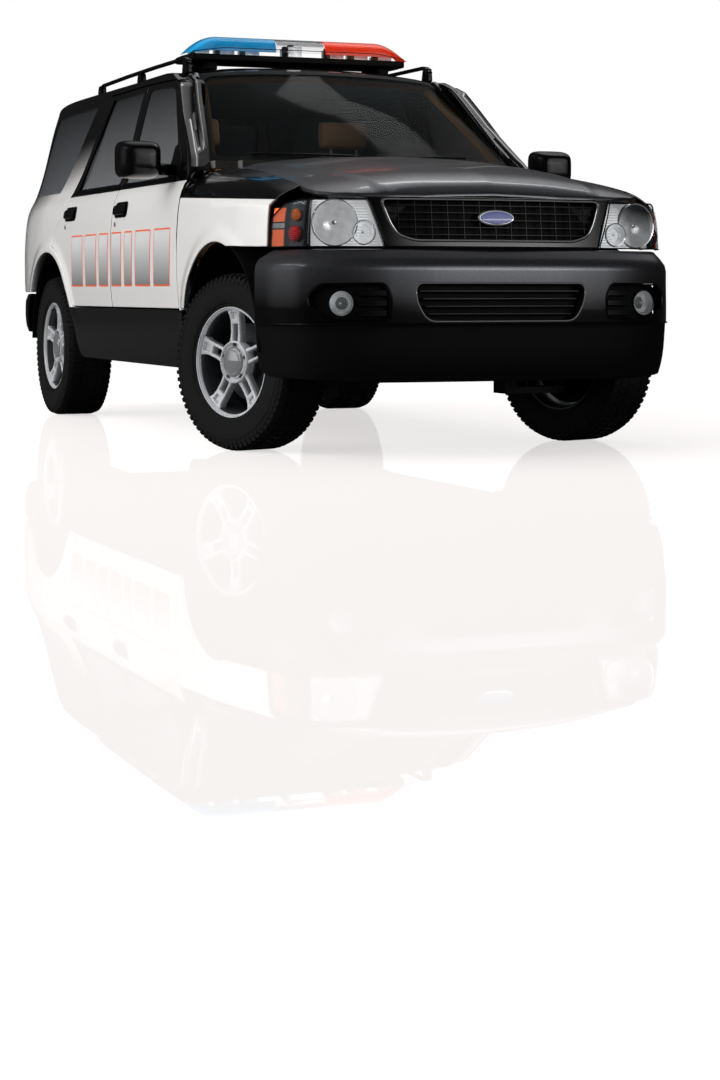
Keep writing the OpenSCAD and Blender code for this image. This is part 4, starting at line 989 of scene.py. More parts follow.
roof = sheet("roof_skin", roof_outline, roof_bent, 0.010, enamel_black, (), 0.003, 0.040)
headliner = sheet("headliner", inset(ccw(roof_outline), 0.02), lambda x, y, d: roof_point(x, y, 0.018 + d), 0.010,
    headliner_cloth, (), 0.003, 0.08)
piece(roof, "car_body", "roof_panel", slot="black_paint")
piece(headliner, "car_body", slot="black_paint")


def shield_flat(a, b, depth=0.0):
    """The windshield in metres along its flat outline."""
    return shield(a / 0.70, b / 0.74, depth)


pane = rect(-0.70, 0.0, 0.70, 0.74)
windshield = sheet("windshield_glass", rounded(pane, 0.05), shield_flat, 0.005, glass_front, (), 0.001, 0.05)
inner = rounded(inset(pane, 0.026), 0.06, 8)
seal = sheet("windshield_seal", inset(pane, -0.006), lambda a, b, d: shield_flat(a, b, d - 0.0016), 0.0014,
    seal_rubber, [inner], 0.0005, 0.05)
piece(windshield, "car_body", "windshield", slot="clear_glass")
piece(seal, "car_body", slot="trim_plastic")


# ---------------------------------------------------------------- bumpers, grille and lamps
class Plan:
    """A smooth line seen from above, the same on both sides of the car, measured from its middle."""

    def __init__(self, half):
        pts = [(0.0, half[-1][1])] + list(reversed(half))
        full = [(-x, y) for x, y in reversed(pts[1:])] + pts
        for _ in range(3):
            out = [full[0]]
            for a, b in zip(full, full[1:]):
                out += [(a[0] * 0.75 + b[0] * 0.25, a[1] * 0.75 + b[1] * 0.25),
                    (a[0] * 0.25 + b[0] * 0.75, a[1] * 0.25 + b[1] * 0.75)]
            full = out + [full[-1]]
        self.points = full
        self.at = [0.0]
        for a, b in zip(full, full[1:]):
            self.at.append(self.at[-1] + math.dist(a, b))
        middle = self.at[-1] / 2
        self.at = [s - middle for s in self.at]
        self.half = middle

    def place(self, s):
        i = min(max(0, sum(1 for v in self.at if v <= s) - 1), len(self.at) - 2)
        k = (s - self.at[i]) / (self.at[i + 1] - self.at[i])
        a, b = self.points[i], self.points[i + 1]
        return a[0] + (b[0] - a[0]) * k, a[1] + (b[1] - a[1]) * k

    def surface(self, profile, lift=0.0, facing=1):
        """The upright surface over the line; facing is 1 at the car's front and -1 at its tail."""
        def at(s, z, depth=0.0):
            x, y = self.place(s)
            x1, y1 = self.place(s - 0.01)
            x2, y2 = self.place(s + 0.01)
            nx, ny = facing * (y2 - y1), -facing * (x2 - x1)
            n = math.hypot(nx, ny)
            out = profile(z) + lift - depth
            return Vector((x + nx / n * out, y + ny / n * out, z))
        return at

    def reach(self, x):
        """How far along the line lies a place across the car."""
        low, high = 0.0, self.half
        for _ in range(30):
            mid = (low + high) / 2
            if self.place(mid)[0] < x:
                low = mid
            else:
                high = mid
        return low


# the front bumper from above, and how far its face stands out at each height
front_plan = Plan([(HALF_W - 0.010, NOSE + 0.400), (HALF_W - 0.036, NOSE + 0.270), (HALF_W - 0.092, NOSE + 0.150),
    (HALF_W - 0.180, NOSE + 0.078), (HALF_W - 0.340, NOSE + 0.030), (HALF_W - 0.560, NOSE + 0.008),
    (0.200, NOSE + 0.001)])
face = smooth_curve([(0.300, -0.040), (0.360, -0.022), (0.420, -0.012), (0.500, -0.006), (0.528, -0.004),
    (0.534, 0.0), (0.600, 0.000), (0.700, -0.001), (0.752, -0.001), (0.772, -0.008), (0.800, -0.030),
    (0.828, -0.056)])


def front_at(lift=0.0):
    """The front bumper's face, moved outwards."""
    return front_plan.surface(face, lift)


front_face = front_at()
END_F = front_plan.half - 0.004


def ways(points):
    """Places across the car turned into places along the bumper."""
    return [(math.copysign(front_plan.reach(abs(x)), x), z) for x, z in points]


def both(points):
    """The same outline on the other side."""
    return [(-a, b) for a, b in reversed(points)]


cover_line = [(-END_F, 0.535), (END_F, 0.535), (END_F, 0.790), (END_F - 0.06, 0.826), (front_plan.reach(0.50), 0.827),
    (0.0, 0.822), (-front_plan.reach(0.50), 0.827), (-END_F + 0.06, 0.826), (-END_F, 0.790)]
fog_up = rounded(ways([(0.474, 0.549), (0.690, 0.549), (0.775, 0.590), (0.785, 0.650), (0.745, 0.692), (0.492, 0.694),
    (0.466, 0.640)]), 0.024, 5)
lower_open = [(-0.322, 0.544), (0.322, 0.544), (0.366, 0.620), (0.370, 0.694), (-0.370, 0.694), (-0.366, 0.620)]
cover = sheet("cover", cover_line, front_face, 0.010, enamel_flake_shaded_low,
    [rounded(lower_open, 0.04, 6), fog_up, both(fog_up)], 0.004, 0.026)
dam_line = [(-END_F, 0.350), (-END_F + 0.05, 0.325), (-0.5, 0.305), (0.5, 0.305), (END_F - 0.05, 0.325),
    (END_F, 0.350), (END_F, 0.531), (-END_F, 0.531)]
dam = sheet("dam", dam_line, front_face, 0.012, plastic_black, (), 0.004, 0.030)
lip = tube("lip", [front_face(s, 0.533, -0.0015) for s in [(-END_F + 2 * END_F * k / 60) for k in range(61)]], 0.0035,
    abs_black, 8)


def nearly(outline, out=0.0008):
    return [front_face(a, b, -out) for a, b in outline]


trims = [tube("lower_rim", nearly(evenly(rounded(lower_open, 0.04, 6), 0.03)), 0.0022, chrome, 6, True)]
lower_back = sheet("lower_back", inset(rounded(lower_open, 0.04, 6), 0.0015), front_at(-0.050), 0.006, plastic_black,
    (), 0.002, 0.05)
bars = []
for k in range(4):
    z = 0.568 + 0.030 * k
    w = 0.322 + 0.035 * k / 3 - 0.006
    bars.append(sheet("slat", rect(-w, z, w, z + 0.009), front_at(-0.016), 0.020, abs_black, (), 0.003, 0.04))
pockets = []
for sign in (1, -1):
    hole_line = fog_up if sign > 0 else both(fog_up)
    pockets.append(sheet("pocket_back", inset(ccw(hole_line), 0.0015), front_at(-0.030), 0.005, plastic_black, (),
        0.002, 0.03))
    for k in range(3):
        z = 0.562 + 0.040 * k
        a, b = front_plan.reach(0.484), front_plan.reach(0.598)
        line = rounded(rect(a, z, b, z + 0.026), 0.005, 3)
        line = line if sign > 0 else both(line)
        pockets.append(sheet("fog_slat", line, front_at(-0.012), 0.014, abs_black, (), 0.004, 0.02))
    wall = [front_at(-0.004)(a, b, 0.0) for a, b in evenly(inset(ccw(hole_line), 0.004), 0.02)]
    pockets.append(tube("fog_rim", wall, 0.0035, abs_black, 8, True))
piece(joined("front_bumper_cover", [cover, dam, lip] + trims + bars + pockets + [lower_back]), "car_body",
    "front_bumper", slot="charcoal_paint")


def turned_to(point, direction):
    """A matrix that takes +X to a direction, at a place."""
    return Matrix.Translation(point) @ Vector(direction).to_track_quat("X", "Z").to_matrix().to_4x4()


def bowl(radius, depth, material, rim=chrome):
    """A round lamp that faces +X: bowl, bulb, rim and lens."""
    cup = lathe("cup", [(radius, 0.0)] + [(radius * math.sqrt(1 - k / 10), -depth * k / 10) for k in range(1, 10)]
        + [(0.0, -depth), (0.0, -depth - 0.003)] + [(radius * math.sqrt(1 - k / 10) + 0.002, -depth * k / 10 - 0.002)
        for k in range(9, 0, -1)] + [(radius + 0.003, -0.002)], material, 48, "X")
    bulb = lathe("bulb", [(0.0, -depth + 0.001), (radius * 0.10, -depth + 0.001), (radius * 0.12, -depth * 0.6),
        (radius * 0.08, -depth * 0.35), (0.0, -depth * 0.30)], chrome, 20, "X", False)
    ring = lathe("ring", [(radius, -0.002), (radius, 0.003), (radius + 0.004, 0.004), (radius + 0.006, -0.002)], rim,
        48, "X")
    return [cup, bulb, ring]


# pressed lamp glass with flutes: breaks the bright bowl behind it into lines
fog_glass = finish("pressed_lamp_glass", "E6ECEF", 0.10, mottle=(0.02, 0.15), see=0.16,
    lines=(0.009, (1, 0, 0), 0.0012))
lamp_plan = Plan([(HALF_W - 0.050, NOSE + 0.338), (HALF_W - 0.080, NOSE + 0.240), (HALF_W - 0.128, NOSE + 0.165),
    (HALF_W - 0.220, NOSE + 0.110), (HALF_W - 0.340, NOSE + 0.082), (HALF_W - 0.470, NOSE + 0.070),
    (0.20, NOSE + 0.055)])
lamp_rake = smooth_curve([(0.83, 0.0), (0.93, -0.006), (0.99, -0.016), (1.03, -0.030)])
L = lamp_plan.reach


def lamp_at(lift=0.0):
    """The headlamp's face, moved outwards."""
    return lamp_plan.surface(lamp_rake, lift)


def lamp_parts():
    """The left headlamp: lens, ribbed panel, two bowls, divider, smoked cluster and side markers."""
    outer_x = 0.862
    outline = rounded([(L(0.464), 0.834), (L(outer_x), 0.834), (L(outer_x), 0.955), (L(0.842), 1.006),
        (L(0.790), 1.026), (L(0.532), 1.026)], 0.014, 4)
    glass = sheet("lens", outline, lamp_at(0.0005), 0.003, lens, (), 0.002, 0.03)
    out = [glass]
    body = sheet("housing", inset(ccw(outline), 0.001), lamp_at(-0.062), 0.004, abs_black, (), 0.002, 0.03)
    out.append(body)
    edge = [lamp_at(-0.001)(a, b) for a, b in evenly(inset(ccw(outline), 0.002), 0.02)]
    out.append(tube("edge", edge, 0.003, abs_black, 6, True))
    # bright ribbed panel between the lamps, with round holes for both bowls
    main_s, small_s = L(0.672), L(0.556)
    panel = rounded([(L(0.470), 0.838), (L(0.768), 0.838), (L(0.768), 1.020), (L(0.534), 1.020)], 0.006, 3)
    out.append(sheet("ribs", panel, lamp_at(-0.036), 0.003, ribbed, [arc(main_s, 0.930, 0.090, 0, 345, 23)], 0.002,
        0.02))
    for s, z, r, deep in ((main_s, 0.930, 0.088, 0.036), (small_s, 0.892, 0.044, 0.034)):
        p = lamp_at(-0.020 if r > 0.05 else -0.016)(s, z)
        q = lamp_at()(s, z)
        facing = (lamp_at(0.05)(s, z) - q)
        facing.x *= 0.5
        for part in bowl(r, deep, lamp_bowl):
            out.append(placed(part, turned_to(p, facing)))
    # black divider, smoked cluster and orange reflectors round the corner
    wall_s = L(0.776)
    out.append(sheet("divider", [(wall_s - 0.007, 0.836), (wall_s + 0.010, 0.836), (wall_s + 0.006, 1.022),
        (wall_s - 0.011, 1.022)], lamp_at(-0.006), 0.030, abs_black, (), 0.002, 0.02))
    c0, c1 = wall_s + 0.012, L(0.828) + 0.02
    out.append(sheet("smoke", [(c0, 0.838), (c1, 0.838), (c1, 1.012), (c0, 1.020)], lamp_at(-0.030), 0.003,
        lens_smoke, (), 0.002, 0.02))
    for z, r in ((0.962, 0.024), (0.888, 0.032)):
        p = lamp_at(-0.018)((c0 + c1) / 2, z)
        ball = lathe("bulb", [(0.0, -r)] + [(r * math.sin(math.pi * k / 10), -r * math.cos(math.pi * k / 10))
            for k in range(1, 10)] + [(0.0, r)], lens_amber if z > 0.9 else tail_red, 24, "X", False)
        for v in ball.data.vertices:
            v.co.x *= 0.5
        out.append(placed(ball, turned_to(p, lamp_at(0.05)((c0 + c1) / 2, z) - lamp_at()((c0 + c1) / 2, z))))
    b0, b1 = c1 + 0.004, L(0.8615)
    for low, high, mat in ((0.838, 0.905, lens_orange), (0.910, 0.930, reflector), (0.935, 0.990, lens_orange)):
        out.append(sheet("marker", rounded(rect(b0, low, b1, high), 0.004, 2), lamp_at(-0.006), 0.004, mat, (), 0.002,
            0.02))
    return out


lamp = joined("headlamp_left", lamp_parts())
fog_s = front_plan.reach(0.665)
fog_parts = []
for part in bowl(0.048, 0.030, reflector, abs_black):
    fog_parts.append(placed(part, turned_to(front_at(-0.008)(fog_s, 0.615), (0.12, -1, 0))))
dome = lathe("fog_lens", [(0.047, -0.001)] + [(0.047 * math.cos(math.pi * k / 16), 0.014 * math.sin(math.pi * k / 16))
    for k in range(1, 8)] + [(0.0, 0.014), (0.0, 0.012)]
    + [(0.045 * math.cos(math.pi * k / 16), 0.012 * math.sin(math.pi * k / 16)) for k in range(7, 0, -1)]
    + [(0.045, -0.001)], fog_glass, 40, "X")
fog_parts.append(placed(dome, turned_to(front_at(-0.008)(fog_s, 0.615), (0.12, -1, 0))))
fog = joined("fog_lamp_left", fog_parts)
piece(other_side(lamp, "headlamp_right"), "car_body", "headlamps", slot="lamp_lens")
piece(lamp, "car_body", slot="lamp_lens")
piece(other_side(fog, "fog_lamp_right"), "car_body", slot="lamp_lens")
piece(fog, "car_body", slot="lamp_lens")

# grille: a dark surround with a thin bright line, and an egg-crate mesh set back in it
GRILLE_Y = HOOD_FRONT + 0.004


def grille_face(x, z, depth=0.0):
    """The surround stands upright and bows back at its sides."""
    return Vector((x, GRILLE_Y - 0.052 + 0.16 * x * x + 0.20 * (z - 0.83) ** 1.0 * 0.6 + depth, z))


outer = [(-0.470, 0.834), (0.470, 0.834), (0.535, 1.030), (0.50, 1.034), (-0.50, 1.034), (-0.535, 1.030)]
opening = [(-0.350, 0.862), (0.350, 0.862), (0.418, 0.885), (0.446, 0.930), (0.481, 1.026), (-0.481, 1.026),
    (-0.446, 0.930), (-0.418, 0.885)]
opening = rounded(opening, 0.03, 6)
surround = sheet("surround", outer, grille_face, 0.012, enamel_black, [opening], 0.007, 0.022)
line = tube("bright_line", [grille_face(x, z, 0.001) for x, z in evenly(inset(ccw(opening), 0.001), 0.02)], 0.0028,
    chrome, 8, True)
mesh_back = sheet("mesh_back", inset(ccw(opening), 0.001), lambda x, z, d: grille_face(x, z, 0.045 + d), 0.004,
    seal_rubber, (), 0.001, 0.05)


def grille_half(z):
    """Half width of the grille's opening at a height."""
    return 0.350 + 0.068 * blend(z, 0.862, 0.885) + 0.028 * blend(z, 0.885, 0.930) + 0.035 * blend(z, 0.930, 1.026)


def blend(value, low, high):
    """0 below low, 1 above high, and a straight line between them."""
    return max(0.0, min(1.0, (value - low) / (high - low)))


def mesh_bar(outline):
    return sheet("mesh_bar", outline, lambda x, z, d: grille_face(x, z, 0.014 + d), 0.008, abs_black, (), 0.001, 0.08)


mesh_bars = []
for k in range(5):
    z = 0.884 + 0.0290 * k
    w = grille_half(z) - 0.012
    mesh_bars.append(mesh_bar(rect(-w, z, w, z + 0.0035)))
for k in range(-6, 7):
    x = 0.068 * k
    low = next(z / 1000 for z in range(868, 1020) if grille_half(z / 1000) - 0.012 > abs(x) + 0.002)
    mesh_bars.append(mesh_bar(rect(x - 0.0018, low, x + 0.0018, 1.024)))


def oval(half_x, half_z):
    """The badge's outline."""
    return [(half_x * math.cos(2 * math.pi * k / 48), BADGE_Z + half_z * math.sin(2 * math.pi * k / 48))
        for k in range(48)]


badge = sheet("badge", oval(0.078, 0.031), lambda x, z, d: grille_face(x, z, -0.002 + 0.003
    * ((x / 0.078) ** 2 + ((z - BADGE_Z) / 0.032) ** 2) + d), 0.010, chrome, (), 0.004, 0.01)
# fired enamel: a deep even blue under a wet gloss, with a glow that paints brightness on it
badge_blue = finish("vitreous_enamel_blue", "2B3A8C", 0.15, coat=1.0, mottle=(0.05, 0.2), glow=0.3)
field = sheet("badge_field", oval(0.071, 0.025), lambda x, z, d: grille_face(x, z, -0.0060 + 0.003
    * ((x / 0.078) ** 2 + ((z - BADGE_Z) / 0.032) ** 2) + d), 0.004, badge_blue, (), 0.001, 0.01)
stem = box("badge_stem", (-0.03, GRILLE_Y - 0.040, 0.940), (0.03, GRILLE_Y + 0.000, 0.968), abs_black, 0.002, 1)
piece(joined("grille_assembly", [surround, line, mesh_back, badge, field, stem] + mesh_bars), "car_body", "grille",
    slot="grille_plastic")

# ---------------------------------------------------------------- tail
gate_y = smooth_curve([(0.600, TAIL - 0.076), (0.660, TAIL - 0.078), (0.900, TAIL - 0.084), (1.100, TAIL - 0.096),
    (BELT, TAIL - 0.128), (ROOF_Z - 0.090, TAIL - 0.330), (ROOF_Z - 0.046, ROOF_REAR + 0.007)])


def gate_face(x, z, depth=0.0):
    """The liftgate bows back a little at its sides."""
    return Vector((x, gate_y(z) - 0.016 * (x / 0.64) ** 2 - depth, z))


GATE = ROOF_HALF - 0.002
gate_outline = [(GATE, 0.664), (GATE, 1.660), (0.600, 1.672), (0.45, 1.690), (0.30, 1.702), (0.0, 1.710),
    (-0.30, 1.702), (-0.45, 1.690), (-0.600, 1.672), (-GATE, 1.660), (-GATE, 0.664)]
gate_hole = [(0.558, BELT + 0.022), (0.528, ROOF_Z - 0.134), (-0.528, ROOF_Z - 0.134), (-0.558, BELT + 0.022)]
# stoved enamel, white below and black above one sharp masked line
enamel_gate = white_enamel("gate", (BLACK, (0, 0, 1), (1.1075, 1.1085)))
gate = sheet("gate", rounded(gate_outline, 0.012, 3), gate_face, 0.030, enamel_gate, [rounded(gate_hole, 0.05)],
    0.005, 0.035)
gate_in = sheet("gate_in", rounded(inset(ccw(gate_outline), 0.035), 0.03),
    lambda x, z, d: gate_face(x, z, 0.0305 + d), 0.020, tan_light, [rounded(inset(ccw(gate_hole), -0.012), 0.05)],
    0.005, 0.05)
gate_glass = sheet("liftgate_window", rounded(inset(ccw(gate_hole), 0.0006), 0.05),
    lambda x, z, d: gate_face(x, z, 0.006 + d), 0.005, glass_rear, (), 0.001, 0.05)
plate_pocket = sheet("plate_pocket", rounded(rect(-0.190, 0.800, 0.190, 1.000), 0.02),
    lambda x, z, d: gate_face(x, z, -0.002 + d), 0.002, plastic_black, (), 0.001, 0.03)
plate = prism("plate", rounded(rect(-0.152, 0.829, 0.152, 0.981), 0.012), TAIL - 0.0815, TAIL - 0.079,
    finish("pressed_aluminium_plate", "E4E4DE", 0.35, metal=0.2, mottle=(0.05, 0.06), grain=(0.004, 0.0001)), "Y",
    0.0008, 2)
screw = lathe("screw", [(0.0, 0.0), (0.006, 0.0), (0.006, 0.002), (0.004, 0.003), (0.0, 0.003)], chrome, 16, "Y",
    False)
screws = []
for x in (-0.0889, 0.0889):
    for z in (0.8447, 0.9653):
        screws.append(placed(linked("screw_copy", screw.data.copy()), Matrix.Translation((x, TAIL - 0.079, z))))
bpy.data.objects.remove(screw)
pull = sheet("gate_pull", rounded([(-0.24, 1.030), (0.24, 1.030), (0.22, 1.072), (-0.22, 1.072)], 0.014),
    lambda x, z, d: gate_face(x, z, -0.012 + d), 0.012, abs_black, (), 0.005, 0.02)
hub = lathe("wiper_hub", [(0.0, 0.0), (0.020, 0.0), (0.020, 0.012), (0.012, 0.018), (0.0, 0.018)], abs_black, 24, "Y",
    False)
placed(hub, Matrix.Translation(gate_face(0.0, BELT - 0.004)))
wiper = tube("rear_wiper", [gate_face(0.0, BELT, -0.014), gate_face(0.10, BELT + 0.02, -0.016),
    gate_face(0.34, BELT + 0.045, -0.010), gate_face(0.40, BELT + 0.05, -0.006)], 0.006, abs_black, 10)
piece(joined("liftgate_shell", [gate, gate_in, plate_pocket, plate, pull, hub, wiper] + screws), "liftgate",
    "liftgate", slot="white_paint")
piece(gate_glass, "liftgate", "liftgate_glass", slot="dark_glass")

rear_plan = Plan([(HALF_W - 0.020, TAIL - 0.640), (HALF_W - 0.036, TAIL - 0.420), (HALF_W - 0.058, TAIL - 0.300),
    (HALF_W - 0.088, TAIL - 0.200), (HALF_W - 0.146, TAIL - 0.090), (HALF_W - 0.256, TAIL - 0.030),
    (HALF_W - 0.450, TAIL - 0.008), (0.200, TAIL - 0.001)])
rear_profile = smooth_curve([(0.43, -0.020), (0.47, -0.006), (0.54, 0.0), (0.61, -0.002), (0.635, -0.008),
    (0.648, -0.024)])
rear_face = rear_plan.surface(rear_profile, facing=-1)
END_R = rear_plan.half - 0.170
rear_line = rounded([(-END_R + 0.02, 0.432), (END_R - 0.02, 0.432), (END_R, 0.50), (END_R + 0.03, 0.646),
    (-END_R - 0.03, 0.646), (-END_R, 0.50)], 0.02)
rear_bumper = sheet("rear_cover", rear_line, rear_face, 0.012, plastic_black, (), 0.004, 0.035)
step_pad = prism("step_pad", rounded([(-0.60, TAIL - 0.100), (0.60, TAIL - 0.100), (0.58, TAIL - 0.020),
    (-0.58, TAIL - 0.020)], 0.02), 0.640, 0.647, plastic_black, "Z", 0.002, 2)
rear_reflectors = []
for x in (-0.56, 0.56):
    s = math.copysign(rear_plan.reach(abs(x)), x)
    rear_reflectors.append(sheet("rear_reflector", rounded(rect(s - 0.07, 0.470, s + 0.07, 0.505), 0.008),
        lambda a, b, d: rear_face(a, b, d - 0.003), 0.003, tail_red, (), 0.001, 0.03))
piece(joined("rear_bumper_cover", [rear_bumper, step_pad] + rear_reflectors), "car_body", "rear_bumper",
    slot="trim_plastic")

tail_outline = rounded([(TAIL - 0.243, 0.808), (TAIL - 0.150, 0.808), (TAIL - 0.100, 0.812), (TAIL - 0.098, 1.108),
    (TAIL - 0.170, 1.112), (TAIL - 0.243, 1.112)], 0.02)
tail_lens = sheet("tail", tail_outline, lambda y, z, d: side_point(y, z, 0.0005 + d), 0.026, tail_red, (), 0.005,
    0.02)
back_band = sheet("reverse", rounded(rect(TAIL - 0.236, 0.900, TAIL - 0.106, 0.958), 0.01),
    lambda y, z, d: side_point(y, z, -0.0012 + d), 0.001, fog_glass, (), 0.0005, 0.02)
tail_piece = joined("tail_lamp_left", [tail_lens, back_band])
piece(other_side(tail_piece, "tail_lamp_right"), "car_body", "tail_lamps", slot="red_lens")
piece(tail_piece, "car_body", slot="red_lens")
fuel = sheet("fuel_flap", arc(AXLE_R + 0.250, 0.985, 0.0838, 0, 350, 35), side_point, 0.009, enamel_side_painted_fade, (), 0.003,
    0.02)
piece(fuel, "fuel_door", "fuel_door", slot="white_paint")

# ---------------------------------------------------------------- roof rails and light bar
for side in (1, -1):
    parts = []
    path = [(side * 0.622, y, z) for y, z in ((-0.250, ROOF_Z - 0.020), (-0.215, ROOF_Z + 0.004),
        (-0.170, ROOF_Z + 0.010), (0.30, ROOF_Z + 0.012), (0.80, ROOF_Z + 0.010), (1.26, ROOF_Z + 0.004),
        (1.31, ROOF_Z - 0.004), (1.345, ROOF_Z - 0.030))]
    parts.append(tube("rail", path, 0.0155, abs_black, 14, False, 0.62))
    for y in (-0.257, 0.513, 1.273):
        low = roof_line(y + 0.04) - roof_fall(0.622) + 0.001
        parts.append(prism("foot", rounded([(y, low), (y + 0.080, low), (y + 0.062, ROOF_Z + 0.004),
            (y + 0.012, ROOF_Z + 0.004)], 0.012), side * 0.607, side * 0.637, abs_black, "X", 0.004, 2))
    rail = joined(f"roof_rail_{'left' if side > 0 else 'right'}", parts)
    piece(rail, "car_body", *(["roof_rails"] if side > 0 else []), slot="trim_plastic")

DOME_LOW = BAR_Z + 0.034
DOME_HIGH = DOME_LOW + 0.092
BAR_HALF = 0.575


def dome_at(x, s, depth=0.0):
    """The light bar's dome: s runs over it from front to back, and its ends run down to a point."""
    end = max(0.0, (abs(x) - 0.415) / (BAR_HALF + 0.002 - 0.415))
    high = (DOME_HIGH - DOME_LOW) * (1 - end ** 1.9) - depth * (0.3 + 0.7 * (1 - end))
    wide = 0.150 - 0.030 * end ** 2 - depth
    a = math.pi * (0.5 - s / 0.40)
    c, d = math.sin(a), math.cos(a)
    y = -wide * math.copysign(abs(c) ** 0.62, c)
    z = high * abs(d) ** 0.62
    return Vector((x, BAR_Y + y, DOME_LOW + max(0.0, z)))


def dome_part(name, x0, x1, material):
    return sheet(name, rect(x0, -0.1995, x1, 0.1995), dome_at, 0.004, material, (), 0.0015, 0.016)


def bar_inside(x0, x1, tint):
    """Reflectors, rotating lamps and dark supports inside a section."""
    out = []
    span = x1 - x0
    count = 3 if span > 0.3 else 1
    for k in range(count):
        x = x0 + span * (k + 0.5) / count
        tall = 0.054 if abs(x) < 0.42 else 0.030
        for side in (-1, 1):
            y = BAR_Y + side * 0.060
            out.append(box("mirror", (x - 0.036, y - 0.003, DOME_LOW + 0.004),
                (x + 0.036, y + 0.003, DOME_LOW + 0.004 + tall), reflector, 0.001, 1))
            out.append(box("bracket", (x - 0.030, y - side * 0.020 - 0.014, DOME_LOW + 0.010),
                (x - 0.004, y - side * 0.020 + 0.014, DOME_LOW + tall + 0.014), abs_black, 0.003, 1))
        turret = lathe("turret", [(0.0, 0.0), (0.030, 0.0), (0.030, 0.008), (0.022, 0.012), (0.020, tall * 0.9),
            (0.012, tall), (0.0, tall)], tint, 20, "Z", False)
        out.append(placed(turret, Matrix.Translation((x + 0.014, BAR_Y, DOME_LOW + 0.002))))
    return out


# lamps that are lit: their colour shows through the coloured domes
lamp_blue = finish("lit_lamp_blue", "BFE6FA", 0.2, mottle=(0.02, 0.2), glow=1.6)
lamp_red = finish("lit_lamp_orange", "FFC890", 0.2, mottle=(0.02, 0.2), glow=1.6)
sections = [("dome_blue", -0.575, -0.128, lens_blue, lamp_blue), ("dome_clear", -0.124, 0.124, lens, reflector),
    ("dome_red", 0.128, 0.575, lens_red, lamp_red)]
domes, insides = [], []
for name, x0, x1, material, tint in sections:
    domes.append(dome_part(name, x0, x1, material))
    insides += bar_inside(x0 + 0.03, x1 - 0.03, tint)
dome_obj = joined("light_bar_lenses", domes)
piece(dome_obj, "car_body", "light_bar_domes", slot="blue_lens")
base_line = rounded([(-0.560, BAR_Y - 0.143), (0.560, BAR_Y - 0.143), (0.568, BAR_Y), (0.560, BAR_Y + 0.143),
    (-0.560, BAR_Y + 0.143), (-0.568, BAR_Y)], 0.03)
base = prism("bar_base", base_line, BAR_Z + 0.002, DOME_LOW - 0.0005, plastic_black, "Z", 0.006, 3)
seam = tube("bar_seam", [Vector((x, BAR_Y - 0.1505 + 0.028 * max(0, (abs(x) - 0.415) / 0.16) ** 2, DOME_LOW + 0.030
    - 0.022 * max(0, (abs(x) - 0.40) / 0.16))) for x in [-0.555 + 1.11 * k / 40 for k in range(41)]], 0.0018,
    seal_rubber, 6)
feet = []
for x in (-0.45, 0.45):
    for y in (BAR_Y - 0.085, BAR_Y + 0.085):
        top = roof_line(y) - roof_fall(abs(x)) + 0.0006
        feet.append(prism("bar_foot", rounded([(y - 0.030, top), (y + 0.030, top), (y + 0.022, BAR_Z + 0.003),
            (y - 0.022, BAR_Z + 0.003)], 0.006), x - 0.030, x + 0.030, plastic_black, "X", 0.003, 2))
piece(joined("light_bar_tray", [base, seam] + feet + insides), "car_body", "light_bar_base", slot="trim_plastic")


# ---------------------------------------------------------------- wheels
TYRE_R = 0.366          # where the tread's pitch is measured
SHOULDER_BLOCKS = 72
MIDDLE_BLOCKS = 64


def tread_block(points, low, high):
    """A rubber block of the tread: an outline of (along the axle, round the tyre) between two radii."""
    bm = bmesh.new()
    rings = []
    for radius, shrink in ((low, 1.0), (high, 0.90)):
        cx = sum(p[0] for p in points) / len(points)
        cs = sum(p[1] for p in points) / len(points)
        ring = []
        for x, s in points:
            a = (cs + (s - cs) * shrink) / TYRE_R
            drop = 0.0
            if abs(x) > 0.085:
                drop = 0.010 * ((abs(x) - 0.085) / 0.033) ** 2
            ring.append(bm.verts.new((cx + (x - cx) * shrink, (radius - drop) * math.sin(a), -(radius - drop)
                * math.cos(a))))
        rings.append(ring)
    n = len(points)
    bm.faces.new(list(rings[1]))
    for i in range(n):
        bm.faces.new([rings[0][i], rings[0][(i + 1) % n], rings[1][(i + 1) % n], rings[1][i]])
    bm.faces.new(list(reversed(rings[0])))
    bmesh.ops.recalc_face_normals(bm, faces=bm.faces)
    mesh = from_bmesh("block", bm)
    mesh.materials.append(rubber)
    return linked("block", mesh)


def block_ring(name, points, low, high, count):
    """Tread blocks all the way round."""
    return repeated(name, tread_block(points, low, high), count, rubber, turn=(2 * math.pi / count, 0, 0))


